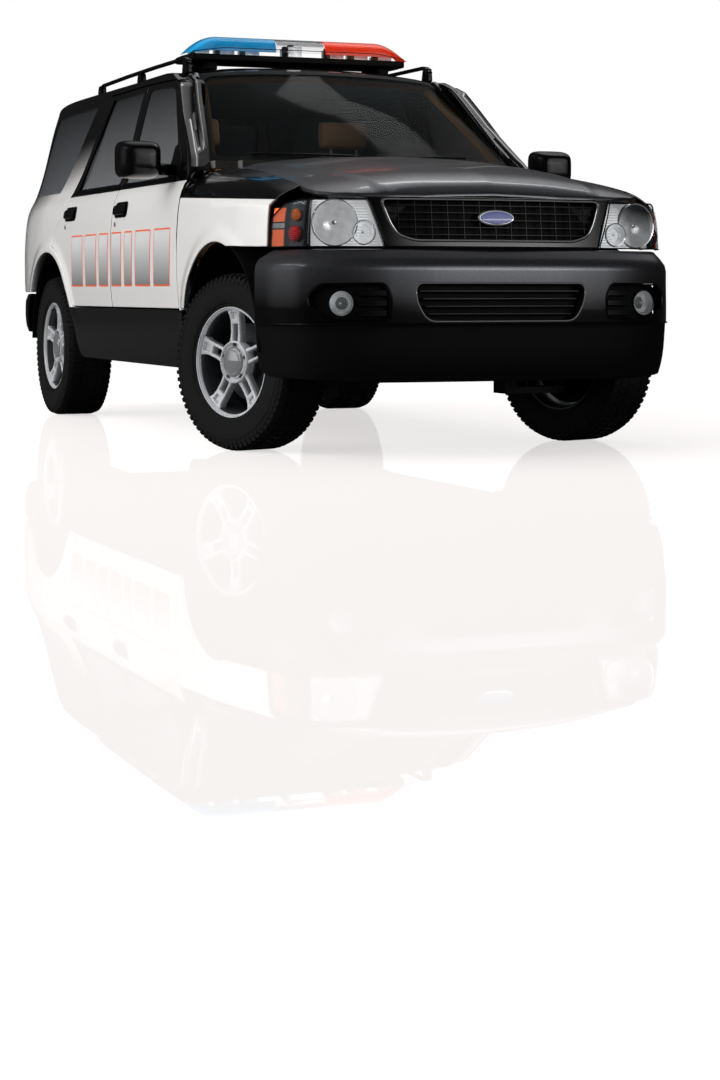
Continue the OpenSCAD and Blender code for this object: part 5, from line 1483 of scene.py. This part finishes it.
def tyre():
    """Carcass with three rings of tread blocks and a ring of lugs on each shoulder."""
    half = 0.1205
    profile = [(0.231, 0.104), (0.236, 0.108), (0.244, 0.110), (0.252, 0.1150), (0.264, 0.1185), (0.282, 0.1212),
        (0.300, half + 0.0010), (0.316, half), (0.330, 0.1185), (0.342, 0.1155), (0.3520, 0.1105), (0.3580, 0.1030),
        (0.3622, 0.088), (0.3635, 0.050), (0.3640, 0.0)]
    full = profile + [(r, -x) for r, x in reversed(profile[:-1])]
    carcass = lathe("carcass", full, rubber, 128, "X")
    parts = [carcass]
    for sign in (1, -1):
        pitch = 2 * math.pi * TYRE_R / SHOULDER_BLOCKS
        shoulder = [(sign * 0.086, 0.004), (sign * 0.1175, 0.002), (sign * 0.1175, pitch * 0.62),
            (sign * 0.086, pitch * 0.66)]
        parts.append(block_ring("shoulder", shoulder, 0.354, 0.3676, SHOULDER_BLOCKS))
        zig = [(sign * 0.046, 0.0), (sign * 0.060, 0.006), (sign * 0.080, 0.001), (sign * 0.080, pitch * 0.70),
            (sign * 0.060, pitch * 0.82), (sign * 0.046, pitch * 0.70)]
        parts.append(block_ring("zigzag", zig, 0.356, 0.3679, SHOULDER_BLOCKS))
        lug = [(sign * 0.1165, 0.002), (sign * 0.1165, pitch * 0.5), (sign * 0.1200, pitch * 0.5),
            (sign * 0.1200, 0.002)]
        parts.append(block_ring("side_lug", lug, 0.330, 0.3490, SHOULDER_BLOCKS))
        for r, x in ((0.247, 0.1125), (0.320, 0.1205)):
            parts.append(lathe("rib", [(r - 0.0016, sign * x), (r, sign * (x + 0.0012)), (r + 0.0016, sign * x),
                (r, sign * (x - 0.001))], rubber, 128, "X"))
    pitch = 2 * math.pi * TYRE_R / MIDDLE_BLOCKS
    mid = [(-0.038, 0.0), (-0.012, 0.010), (0.012, 0.0), (0.038, 0.010), (0.038, pitch * 0.86), (0.012, pitch * 0.70),
        (-0.012, pitch * 0.86), (-0.038, pitch * 0.70)]
    parts.append(block_ring("middle", mid, 0.356, 0.3680, MIDDLE_BLOCKS))
    return joined("tyre", parts)


def rim():
    """Five double spokes with a slot and a pocket each, round a hub ring and a plain cap."""
    outer = [(0.2305, 0.1045), (0.2305, 0.098), (0.2285, -0.095), (0.2305, -0.1015), (0.222, -0.1015),
        (0.214, -0.085), (0.210, -0.020), (0.208, 0.030), (0.212, 0.060), (0.2120, 0.078), (0.2145, 0.084),
        (0.2165, 0.0925), (0.2175, 0.0985), (0.2195, 0.1010), (0.2225, 0.1010), (0.2235, 0.1030), (0.2255, 0.1062),
        (0.2290, 0.1064)]
    parts = [lathe("barrel", outer, alloy_dark, 128, "X")]
    lip = [(0.2160, 0.0915), (0.2172, 0.0990), (0.2195, 0.1016), (0.2222, 0.1016), (0.2233, 0.1034), (0.2255, 0.1068),
        (0.2295, 0.1070), (0.2295, 0.1040), (0.2270, 0.1040), (0.2250, 0.0960), (0.2200, 0.0900)]
    parts.append(lathe("lip", lip, alloy, 128, "X"))
    face = smooth_curve([(0.050, 0.086), (0.085, 0.0835), (0.12, 0.081), (0.16, 0.082), (0.190, 0.087),
        (0.218, 0.094)])

    def spoke_face(u, v, d=0.0):
        return Vector((face(v) - 0.25 * u * u / 0.03 * 0.02 - d, u, v))
    outline = [(-0.034, 0.078), (0.034, 0.078), (0.0300, 0.120), (0.0300, 0.170), (0.033, 0.195), (0.044, 0.2165),
        (-0.044, 0.2165), (-0.033, 0.195), (-0.0300, 0.170), (-0.0300, 0.120)]
    slot_hole = rounded([(-0.0165, 0.086), (0.0165, 0.086), (0.0170, 0.158), (-0.0170, 0.158)], 0.004, 3)
    pocket_hole = rounded([(-0.0165, 0.178), (0.0165, 0.178), (0.0180, 0.207), (-0.0180, 0.207)], 0.004, 3)
    spoke = sheet("spoke", outline, spoke_face, 0.032, alloy, [slot_hole, pocket_hole], 0.0045, 0.011)
    floor = sheet("pocket_floor", inset(ccw(pocket_hole), 0.0004), lambda u, v, d: spoke_face(u, v, 0.012 + d), 0.004,
        alloy, (), 0.001, 0.02)
    spoke = joined("spoke", [spoke, floor])
    parts.append(repeated("spokes", spoke, 5, alloy, turn=(2 * math.pi / 5, 0, 0)))
    # a dark drum behind the spokes, with the disc's bright face inside it
    parts.append(lathe("drum", [(0.20, -0.028), (0.2, -0.034), (0.07, -0.034), (0.07, -0.028)], seal_rubber, 64, "X"))
    parts.append(lathe("disc", [(0.160, 0.004), (0.161, -0.008), (0.159, -0.022), (0.085, -0.022), (0.085, 0.004)],
        alloy_dark, 96, "X"))
    hat = [(0.085, 0.004), (0.084, 0.036), (0.0345, 0.036), (0.0345, -0.020), (0.052, -0.022), (0.052, 0.020),
        (0.075, 0.020), (0.078, -0.020), (0.085, -0.020)]
    parts.append(lathe("hat", hat, alloy_dark, 64, "X"))
    hub = [(0.0345, 0.037), (0.072, 0.037), (0.084, 0.046), (0.0885, 0.070), (0.0890, 0.086), (0.0870, 0.0905),
        (0.0820, 0.0915), (0.0795, 0.0890), (0.0775, 0.080), (0.060, 0.077), (0.0345, 0.077)]
    parts.append(lathe("hub_ring", hub, alloy, 96, "X"))
    cap = [(0.0, 0.078), (0.066, 0.078), (0.0665, 0.088), (0.063, 0.0945), (0.056, 0.0985), (0.0525, 0.0985),
        (0.0510, 0.0965), (0.049, 0.0965), (0.047, 0.1000), (0.030, 0.1030), (0.0, 0.1038)]
    parts.append(lathe("cap", cap, chrome, 96, "X", False))
    nut = lathe("nut", [(0.0, 0.076), (0.0085, 0.076), (0.0085, 0.087), (0.006, 0.0905), (0.0, 0.0905)], alloy_dark,
        6, "X", False)
    placed(nut, Matrix.Translation((0, 0, 0.0725)) @ Matrix.Rotation(0.3, 4, "X"))
    parts.append(repeated("nuts", nut, 5, alloy_dark, turn=(2 * math.pi / 5, 0, 0)))
    valve = tube("valve", [(0.094, 0.070, 0.196), (0.104, 0.066, 0.186)], 0.0035, seal_rubber, 8)
    parts.append(valve)
    return joined("rim", parts)


def wheel_place(front, side):
    """Where a wheel stands: the front ones are turned with their knuckles."""
    flip = Matrix.Scale(side, 4, (1, 0, 0))
    if front:
        return (Matrix.Translation((side * KINGPIN_X, AXLE_F, HUB_Z)) @ Matrix.Rotation(STEER, 4,
            "Z") @ Matrix.Translation((side * WHEEL_OUT, 0, 0)) @ flip)
    return Matrix.Translation((side * REAR_WHEEL_X, AXLE_R, HUB_Z)) @ flip


def copy_of(obj, name):
    """A second object with its own mesh."""
    return linked(name, obj.data.copy())


def moved(obj, matrix):
    """A copy's mesh moved to its place, with its normals turned with it."""
    mesh = obj.data
    turn = matrix.to_3x3()
    flip = matrix.determinant() < 0
    normals = [(turn @ mesh.corner_normals[i].vector).normalized() for i in range(len(mesh.loops))]
    order = []
    for poly in mesh.polygons:
        ids = list(poly.loop_indices)
        order += [normals[ids[0]]] + [normals[i] for i in reversed(ids[1:])] if flip else [normals[i] for i in ids]
    mesh.transform(matrix)
    if flip:
        mesh.flip_normals()
    mesh.normals_split_custom_set([tuple(n) for n in order])
    return obj


tyre_piece, rim_piece = tyre(), rim()
for front, where in ((True, "front"), (False, "rear")):
    for side, hand in HANDS:
        place = wheel_place(front, side)
        body = f"wheel_{where}_{hand}"
        piece(moved(copy_of(tyre_piece, f"tyre_{where}_{hand}_tread"), place), body, f"tyre_{where}_{hand}",
            slot="tyre")
        piece(moved(copy_of(rim_piece, f"rim_{where}_{hand}_spokes"), place), body, f"rim_{where}_{hand}",
            slot="rim_alloy")
bpy.data.objects.remove(tyre_piece)
bpy.data.objects.remove(rim_piece)

# ---------------------------------------------------------------- mirrors
def mirror_parts():
    """The left door mirror: shell, glass, arm and the sail at the window's corner."""
    y0, y1 = GAP_A + 0.140, GAP_A + 0.262
    z0, z1 = BELT - 0.008, BELT + 0.162
    rows = []
    front_lines = 12
    for k in range(front_lines + 1):
        t = k / front_lines
        y = y1 - 0.004 - (y1 - y0 - 0.004) * math.sin(t * math.pi / 2)
        grow = math.cos(t * math.pi / 2) ** 0.55
        half_x, half_z = 0.101 * (0.30 + 0.70 * grow), 0.085 * (0.25 + 0.75 * grow)
        rows.append((y, half_x, half_z))
    ring_count = 40
    verts, faces = [], []
    cx, cz = 1.0225, (z0 + z1) / 2

    def ring(y, hx, hz, power=0.42):
        out = []
        for k in range(ring_count):
            a = 2 * math.pi * k / ring_count
            c, s = math.cos(a), math.sin(a)
            out.append((cx + hx * math.copysign(abs(c) ** power, c), y, cz + hz * math.copysign(abs(s) ** power, s)))
        return out
    rings = [ring(y1 - 0.016, 0.088, 0.072), ring(y1, 0.092, 0.076), ring(y1, 0.098, 0.082)] + [ring(y, hx, hz) for y,
        hx, hz in rows]
    for points in rings:
        verts += points
    for i in range(len(rings) - 1):
        for k in range(ring_count):
            a, b = i * ring_count + k, i * ring_count + (k + 1) % ring_count
            faces.append([a, b, b + ring_count, a + ring_count])
    faces.append(list(range((len(rings) - 1) * ring_count, len(rings) * ring_count)))
    faces.append(list(reversed(range(ring_count))))
    shell = new_object("shell", verts, faces, abs_black)
    outward(shell)
    pane = sheet("mirror_pane", rounded(rect(cx - 0.084, cz - 0.068, cx + 0.084, cz + 0.068), 0.03, 6),
        lambda x, z, d: Vector((x, y1 - 0.011 - 0.003 * ((x - cx) / 0.08) ** 2 - d, z)), 0.003, mirror_glass, (),
        0.001, 0.03)
    arm = sheet("arm", rounded([(GAP_A + 0.186, BELT + 0.004), (GAP_A + 0.256, BELT + 0.028),
        (GAP_A + 0.256, BELT + 0.066), (GAP_A + 0.205, BELT + 0.056)], 0.012),
        lambda y, z, d: Vector((0.936 - d, y, z)), 0.082, abs_black, (), 0.004, 0.02)
    sail = sheet("sail", rounded([(GAP_A + 0.150, BELT + 0.006), (GAP_A + 0.330, BELT + 0.006),
        (GAP_A + 0.350, BELT + 0.150), (GAP_A + 0.300, BELT + 0.160), (GAP_A + 0.165, BELT + 0.060)], 0.02),
        behind(-0.008), 0.0078, abs_black, (), 0.003, 0.03)
    return [shell, pane, arm, sail]


mirror = joined("door_mirror_left", mirror_parts())
piece(other_side(mirror, "door_mirror_right"), "front_door_right", "mirror_right", slot="trim_plastic")
piece(mirror, "front_door_left", "mirror_left", slot="trim_plastic")


# ---------------------------------------------------------------- cabin
def cushion(name, points, x0, x1, cap=0.016):
    """A stuffed pad: a section (y, z) across the car, a little smaller than its space, blown up as cloth."""
    bm = bmesh.new()
    shrunk = inset(ccw(points), cap)
    outline = evenly(rounded(shrunk, 0.03, 3), 0.05)
    low = [bm.verts.new((x0 + cap, y, z)) for y, z in outline]
    high = [bm.verts.new((x1 - cap, y, z)) for y, z in outline]
    n = len(outline)
    bm.faces.new(low)
    bm.faces.new(list(reversed(high)))
    for i in range(n):
        bm.faces.new([low[i], high[i], high[(i + 1) % n], low[(i + 1) % n]])
    bmesh.ops.recalc_face_normals(bm, faces=bm.faces)
    obj = linked(name, from_bmesh(name, bm))
    mod = obj.modifiers.new("mesh", "REMESH")
    mod.mode = "VOXEL"
    mod.voxel_size = 0.014
    bake(obj)
    mod = obj.modifiers.new("cloth", "CLOTH")
    mod.settings.use_pressure = True
    mod.settings.uniform_pressure_force = 4
    mod.settings.effector_weights.gravity = 0
    start = [v.co.copy() for v in obj.data.vertices]
    scene = bpy.context.scene
    for frame_number in range(1, 16):
        scene.frame_set(frame_number)
    deps = bpy.context.evaluated_depsgraph_get()
    moved_to = [v.co.copy() for v in obj.evaluated_get(deps).data.vertices]
    obj.modifiers.remove(mod)
    for v, a, b in zip(obj.data.vertices, start, moved_to):
        step = b - a
        v.co = a + step * min(1.0, (cap - 0.002) / max(step.length, 1e-6))
    scene.frame_set(1)
    mod = obj.modifiers.new("smooth", "SMOOTH")
    mod.factor = 0.5
    mod.iterations = 4
    bake(obj)
    obj.data.materials.append(cloth_tan)
    obj.data.shade_smooth()
    return obj


def bake(obj):
    """Makes an object's modifiers part of its mesh."""
    deps = bpy.context.evaluated_depsgraph_get()
    mesh = bpy.data.meshes.new_from_object(obj.evaluated_get(deps))
    obj.modifiers.clear()
    obj.data = mesh


def seat_parts(x):
    """One front seat's base, back and head rest, stuffed."""
    y = SEAT_Y
    out = [cushion("seat_base", [(y - 0.250, 0.640), (y + 0.250, 0.640), (y + 0.270, 0.700), (y + 0.250, 0.795),
        (y - 0.240, 0.785)], x - 0.248, x + 0.248), cushion("seat_back",
        [(y + 0.180, 0.800), (y + 0.325, 0.803), (y + 0.440, 1.330), (y + 0.360, 1.350), (y + 0.300, 1.300)], x
        - 0.238, x + 0.238), cushion("head_rest", [(y + 0.350, 1.380), (y + 0.450, 1.380), (y + 0.470, 1.540),
        (y + 0.390, 1.550)], x - 0.138, x + 0.138, 0.012)]
    return out


for x, hand in ((0.400, "left"), (-0.400, "right")):
    y = SEAT_Y
    for k, obj in enumerate(seat_parts(x)):
        obj.name = f"front_seat_{hand}_{('base', 'back', 'head')[k]}"
        piece(obj, "car_body", *(["front_seats"] if hand == "left" and k == 0 else []), slot="seat_fabric")
    frame_parts = [box("runner", (x - 0.220, y - 0.200, 0.5005), (x - 0.180, y + 0.200, 0.641), steel_coated),
        box("runner", (x + 0.180, y - 0.200, 0.5005), (x + 0.220, y + 0.200, 0.641), steel_coated)]
    for s in (-0.07, 0.07):
        frame_parts.append(tube("post", [(x + s, y + 0.400, 1.290), (x + s, y + 0.400, 1.392)], 0.007, chrome, 12))
    piece(joined(f"front_seat_frame_{hand}", frame_parts), "car_body", slot="trim_plastic")
bench = cushion("rear_bench", [(GAP_B + 0.330, 0.560), (GAP_B + 0.740, 0.560), (GAP_B + 0.740, 0.798),
    (GAP_B + 0.330, 0.788)], -0.688, 0.688)
piece(bench, "car_body", "rear_seat", slot="seat_fabric")
bench_back = cushion("rear_bench_back", [(GAP_B + 0.690, 0.802), (GAP_B + 0.810, 0.803), (GAP_B + 0.930, 1.300),
    (GAP_B + 0.840, 1.330)], -0.578, 0.578)
piece(bench_back, "car_body", slot="seat_fabric")
piece(box("rear_seat_plinth", (-0.660, GAP_B + 0.350, 0.5005), (0.660, GAP_B + 0.720, 0.575), carpet, 0.01),
    "car_body", slot="seat_fabric")

dash_line = rounded([(GAP_A - 0.0170, 0.902), (GAP_A + 0.330, 0.902), (GAP_A + 0.398, 1.010), (GAP_A + 0.378, 1.108),
    (GAP_A + 0.250, 1.158), (GAP_A - 0.0170, 1.168)], 0.035, 5)
dash_parts = [prism("dash", dash_line, -0.733, 0.733, tan_soft, "X", 0.012, 3),
    prism("console", rounded([(GAP_A + 0.420, 0.501), (GAP_A + 1.148, 0.501), (GAP_A + 1.140, 0.790),
    (GAP_A + 0.430, 0.798)], 0.03), -0.148, 0.148, tan_soft, "X", 0.012, 3),
    box("stack", (-0.118, GAP_A + 0.332, 0.562), (0.118, GAP_A + 0.418, 0.905), abs_black, 0.010, 3)]
for x in (-0.60, -0.16, 0.12, 0.62):
    vent = box("vent", (x - 0.055, GAP_A + 0.380, 1.020), (x + 0.055, GAP_A + 0.3985, 1.075), abs_black, 0.004, 2)
    dash_parts.append(vent)
hood_over = prism("binnacle", rounded([(GAP_A + 0.270, 1.128), (GAP_A + 0.385, 1.090), (GAP_A + 0.395, 1.130),
    (GAP_A + 0.290, 1.169)], 0.02), 0.22, 0.54, tan_soft, "X", 0.008, 3)
radio = box("radio", (-0.085, GAP_A + 0.400, 0.930), (0.085, GAP_A + 0.4010, 0.985), abs_black, 0.003, 2)
dash_parts += [hood_over, radio]
HUB = Vector((0.380, GAP_A + 0.568, 1.052))
TILT = math.radians(22 - 90)
to_wheel = Matrix.Translation(HUB) @ Matrix.Rotation(TILT, 4, "X")
column = lathe("column", [(0.0, -0.190), (0.038, -0.190), (0.037, -0.010), (0.0, -0.010)], abs_black, 32, "Z", False)
dash_parts.append(placed(column, to_wheel))
piece(joined("dashboard_trim", dash_parts), "car_body", "dashboard", slot="tan_plastic")
wheel_rim = tube("wheel_rim", [(0.178 * math.cos(2 * math.pi * k / 72), 0.178 * math.sin(2 * math.pi * k / 72), 0)
    for k in range(72)], 0.0148, abs_black, 16, True)
boss = lathe("boss", [(0.0, -0.008), (0.055, -0.008), (0.062, 0.0), (0.058, 0.008), (0.030, 0.014), (0.0, 0.0155)],
    abs_black, 40, "Z", False)
arms = [wheel_rim, boss]
for a in (0, 180, 270):
    arm = prism("wheel_arm", rounded([(0.050, -0.018), (0.168, -0.012), (0.168, 0.012), (0.050, 0.018)], 0.006),
        -0.0058, 0.0058, abs_black, "Z", 0.004, 3)
    arms.append(placed(arm, Matrix.Rotation(math.radians(a), 4, "Z")))
piece(placed(joined("steering_wheel_rim", arms), to_wheel), "steering_wheel", "steering_wheel", slot="black_leather")
# rear-view mirror on the windshield, and the tan covers of the front pillars
mirror_in = prism("inside_mirror", rounded([(-0.125, 1.500), (0.125, 1.500), (0.130, 1.568), (-0.130, 1.568)], 0.028,
    6), -0.475, -0.448, abs_black, "Y", 0.008, 3)
inside_stem = tube("mirror_stem", [(0, -0.470, 1.555), (0, -0.478, 1.590), (0, -0.452, 1.618)], 0.008, abs_black, 10)
piece(joined("inside_mirror", [mirror_in, inside_stem]), "car_body", slot="trim_plastic")
for side, hand in HANDS:
    cover_line = [shield(side * 0.965, t, 0.040) for t in [k / 16 for k in range(0, 17)]]
    cover = tube(f"pillar_cover_{hand}", cover_line, 0.028, tan_light, 12, False, 0.8)
    piece(cover, "car_body", slot="tan_plastic")
for side, hand in HANDS:
    # the front pillar's outer cover, from the cowl to the roof
    strips = []
    for across, sink, radius in ((1.020, 0.004, 0.022), (1.055, 0.010, 0.026), (1.085, 0.022, 0.024)):
        strips.append(tube("strip", [shield(side * across, -0.01 + 1.01 * k / 16, sink) for k in range(17)], radius,
            enamel_black, 16))
    piece(joined(f"pillar_skin_{hand}", strips), "car_body", slot="black_paint")
header = tube("roof_header_trim", [shield(u, 0.985, 0.040) for u in [-0.93 + 1.86 * k / 24 for k in range(25)]],
    0.024, tan_light, 10, False, 0.6)
piece(header, "car_body", slot="tan_plastic")
for side, hand in HANDS:
    blade = [shield(u, 0.035 + 0.02 * abs(u), -0.010) for u in [side * (0.08 + 0.62 * k / 20) - 0.05
        for k in range(21)]]
    arm = tube("wiper_arm", [blade[0], blade[6], blade[12]], 0.005, abs_black, 8)
    rub = tube("wiper_blade", blade, 0.0045, seal_rubber, 8)
    piece(joined(f"wiper_{hand}", [arm, rub]), "car_body", slot="trim_plastic")

# ---------------------------------------------------------------- plain nodes that keep their shape
for names, material in ((("frame_rails", "front_suspension", "knuckle_left", "knuckle_right"), steel_coated),
    (("engine_block", "rear_axle"), cast_iron), (("exhaust",), exhaust_steel), (("fuel_tank",), tank_plastic),
    (("wheel_liners",), plastic_black), (("floor_pan",), carpet)):
    for name in names:
        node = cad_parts[name]
        node.data.materials.clear()
        node.data.materials.append(material)


# ---------------------------------------------------------------- floor, light and camera
def studio():
    """White room: a pale polished floor, light from the car's right, and the camera."""
    bpy.context.scene.view_settings.view_transform = "Standard"
    floor = new_object("floor", [(-150, -60, 0), (150, -60, 0), (150, 150, 0), (-150, 150, 0)], [[0, 1, 2, 3]], None,
        False)
    mat = bpy.data.materials.new("pale_polished_floor")
    mat.use_nodes = True
    tree = mat.node_tree
    tree.nodes.remove(tree.nodes["Principled BSDF"])
    out = tree.nodes["Material Output"]
    pale = add(tree, "ShaderNodeBsdfDiffuse", {"Color": linear("9C9A98")})
    lit = add(tree, "ShaderNodeEmission", {"Color": linear("FFFCFB"), "Strength": 0.78})
    soft = add(tree, "ShaderNodeAddShader", {0: (pale, 0), 1: (lit, 0)})
    shine = add(tree, "ShaderNodeBsdfGlossy", {"Color": (1.0, 1.0, 1.0, 1), "Roughness": 0.0})
    both = add(tree, "ShaderNodeMixShader", {0: 0.16, 1: (soft, 0), 2: (shine, 0)})
    # far behind the car the floor runs into the white of the room
    place = add(tree, "ShaderNodeTexCoord")
    away = add(tree, "ShaderNodeVectorMath", {0: (place, "Object"), 1: (0.37, 0.93, 0.0)}, operation="DOT_PRODUCT")
    fade = add(tree, "ShaderNodeMapRange", {0: (away, 1), 1: 2.4, 2: 5.5}, interpolation_type="SMOOTHSTEP")
    white = add(tree, "ShaderNodeEmission", {"Color": (1, 1, 1, 1), "Strength": 1.0})
    both = add(tree, "ShaderNodeMixShader", {0: (fade, 0), 1: (both, 0), 2: (white, 0)})
    path = add(tree, "ShaderNodeLightPath")
    dark = add(tree, "ShaderNodeBsdfDiffuse", {"Color": (0.03, 0.03, 0.03, 1)})
    seen = add(tree, "ShaderNodeMixShader", {0: (path, "Is Camera Ray"), 1: (dark, 0), 2: (both, 0)})
    tree.links.new(seen.outputs[0], out.inputs["Surface"])
    floor.data.materials.append(mat)

    world = bpy.data.worlds.new("studio")
    bpy.context.scene.world = world
    world.use_nodes = True
    tree = world.node_tree
    path = add(tree, "ShaderNodeLightPath")
    back = tree.nodes["Background"]
    back.inputs["Color"].default_value = (1, 1, 1, 1)
    place = add(tree, "ShaderNodeTexCoord")

    def patch(direction, low, high, level):
        """A soft bright patch of the room, seen in one direction."""
        along = add(tree, "ShaderNodeVectorMath", {0: (place, "Generated"), 1: Vector(direction).normalized()},
            operation="DOT_PRODUCT")
        return add(tree, "ShaderNodeMapRange", {0: (along, 1), 1: low, 2: high, 4: level},
            interpolation_type="SMOOTHSTEP")

    def total(patches, least):
        """Patches added together over an even dim level."""
        for patch_node in patches:
            least = add(tree, "ShaderNodeMath", {0: (patch_node, 0), 1: least if isinstance(least, float)
                else (least, 0)}, operation="ADD")
        return least
    # what lights the paint: a wide bright wall on the car's right, weaker ones on its left and behind
    glow = total([patch((-1, 0.1, 0.15), 0.3, 0.9, 2.7), patch((1, 0.3, 0.2), 0.5, 0.95, 0.5),
        patch((0, 0.3, 1), 0.6, 1.0, 0.5)], 0.05)
    # what shines in the lacquer: a near-black room with a dim wall and a soft panel over the hood
    shine = total([patch((-1, 0.25, 0.06), 0.86, 0.99, 0.34), patch((0.40, 0.45, 0.80), 0.80, 0.97, 0.55),
        patch((0.45, -0.88, 0.20), 0.93, 0.995, 1.6)], 0.012)
    kind = add(tree, "ShaderNodeMix", {0: (path, "Is Glossy Ray"), 2: (glow, 0), 3: (shine, 0)}, data_type="FLOAT")
    plain = add(tree, "ShaderNodeMath", {0: (path, "Is Camera Ray"), 1: (path, "Is Singular Ray")},
        operation="MAXIMUM")
    level = add(tree, "ShaderNodeMapRange", {0: (plain, 0), 3: (kind, 0), 4: 1.0})
    tree.links.new(level.outputs[0], back.inputs["Strength"])

    def softbox(name, place, aim, size, radiance, shiny=True):
        light = bpy.data.lights.new(name, "AREA")
        light.shape = "RECTANGLE"
        light.size, light.size_y = size
        light.energy = radiance * math.pi * size[0] * size[1]
        obj = linked(name, light)
        obj.location = place
        obj.rotation_euler = (Vector(aim) - Vector(place)).to_track_quat("-Z", "Y").to_euler()
        obj.visible_glossy = shiny
    softbox("side_softbox", (-9.0, -1.0, 3.6), (0, 0, 0.9), (10.0, 2.0), 3.2, False)
    softbox("side_strip", (-7.0, -1.0, 5.2), (0, 0, 1.4), (7.0, 0.25), 5.0)
    softbox("top_softbox", (0.0, 1.5, 7.0), (0, 0.5, 0), (4.0, 5.0), 1.6, False)
    softbox("hood_strip", (2.2, 0.6, 5.0), (0, -1.9, 1.1), (3.0, 0.5), 3.0)
    softbox("bumper_strip", (3.6, -9.5, 2.3), (0, -2.4, 0.72), (3.5, 0.30), 6.0)
    softbox("cabin_light", (0.0, -0.2, 1.64), (0, -0.2, 0), (0.8, 0.9), 3.0, False)
    softbox("back_softbox", (0.0, 8.0, 3.2), (0, 1.5, 1.0), (6.0, 2.0), 2.5, False)

    camera = bpy.data.cameras.new("camera")
    camera.sensor_width = 36
    camera.lens = 74.57
    camera.shift_y = -0.2315
    camera.clip_end = 400
    obj = linked("camera", camera)
    obj.location = (-3.803, -10.412, 0.667)
    obj.rotation_euler = (math.radians(90), 0, math.radians(-21.75))
    bpy.context.scene.camera = obj


studio()
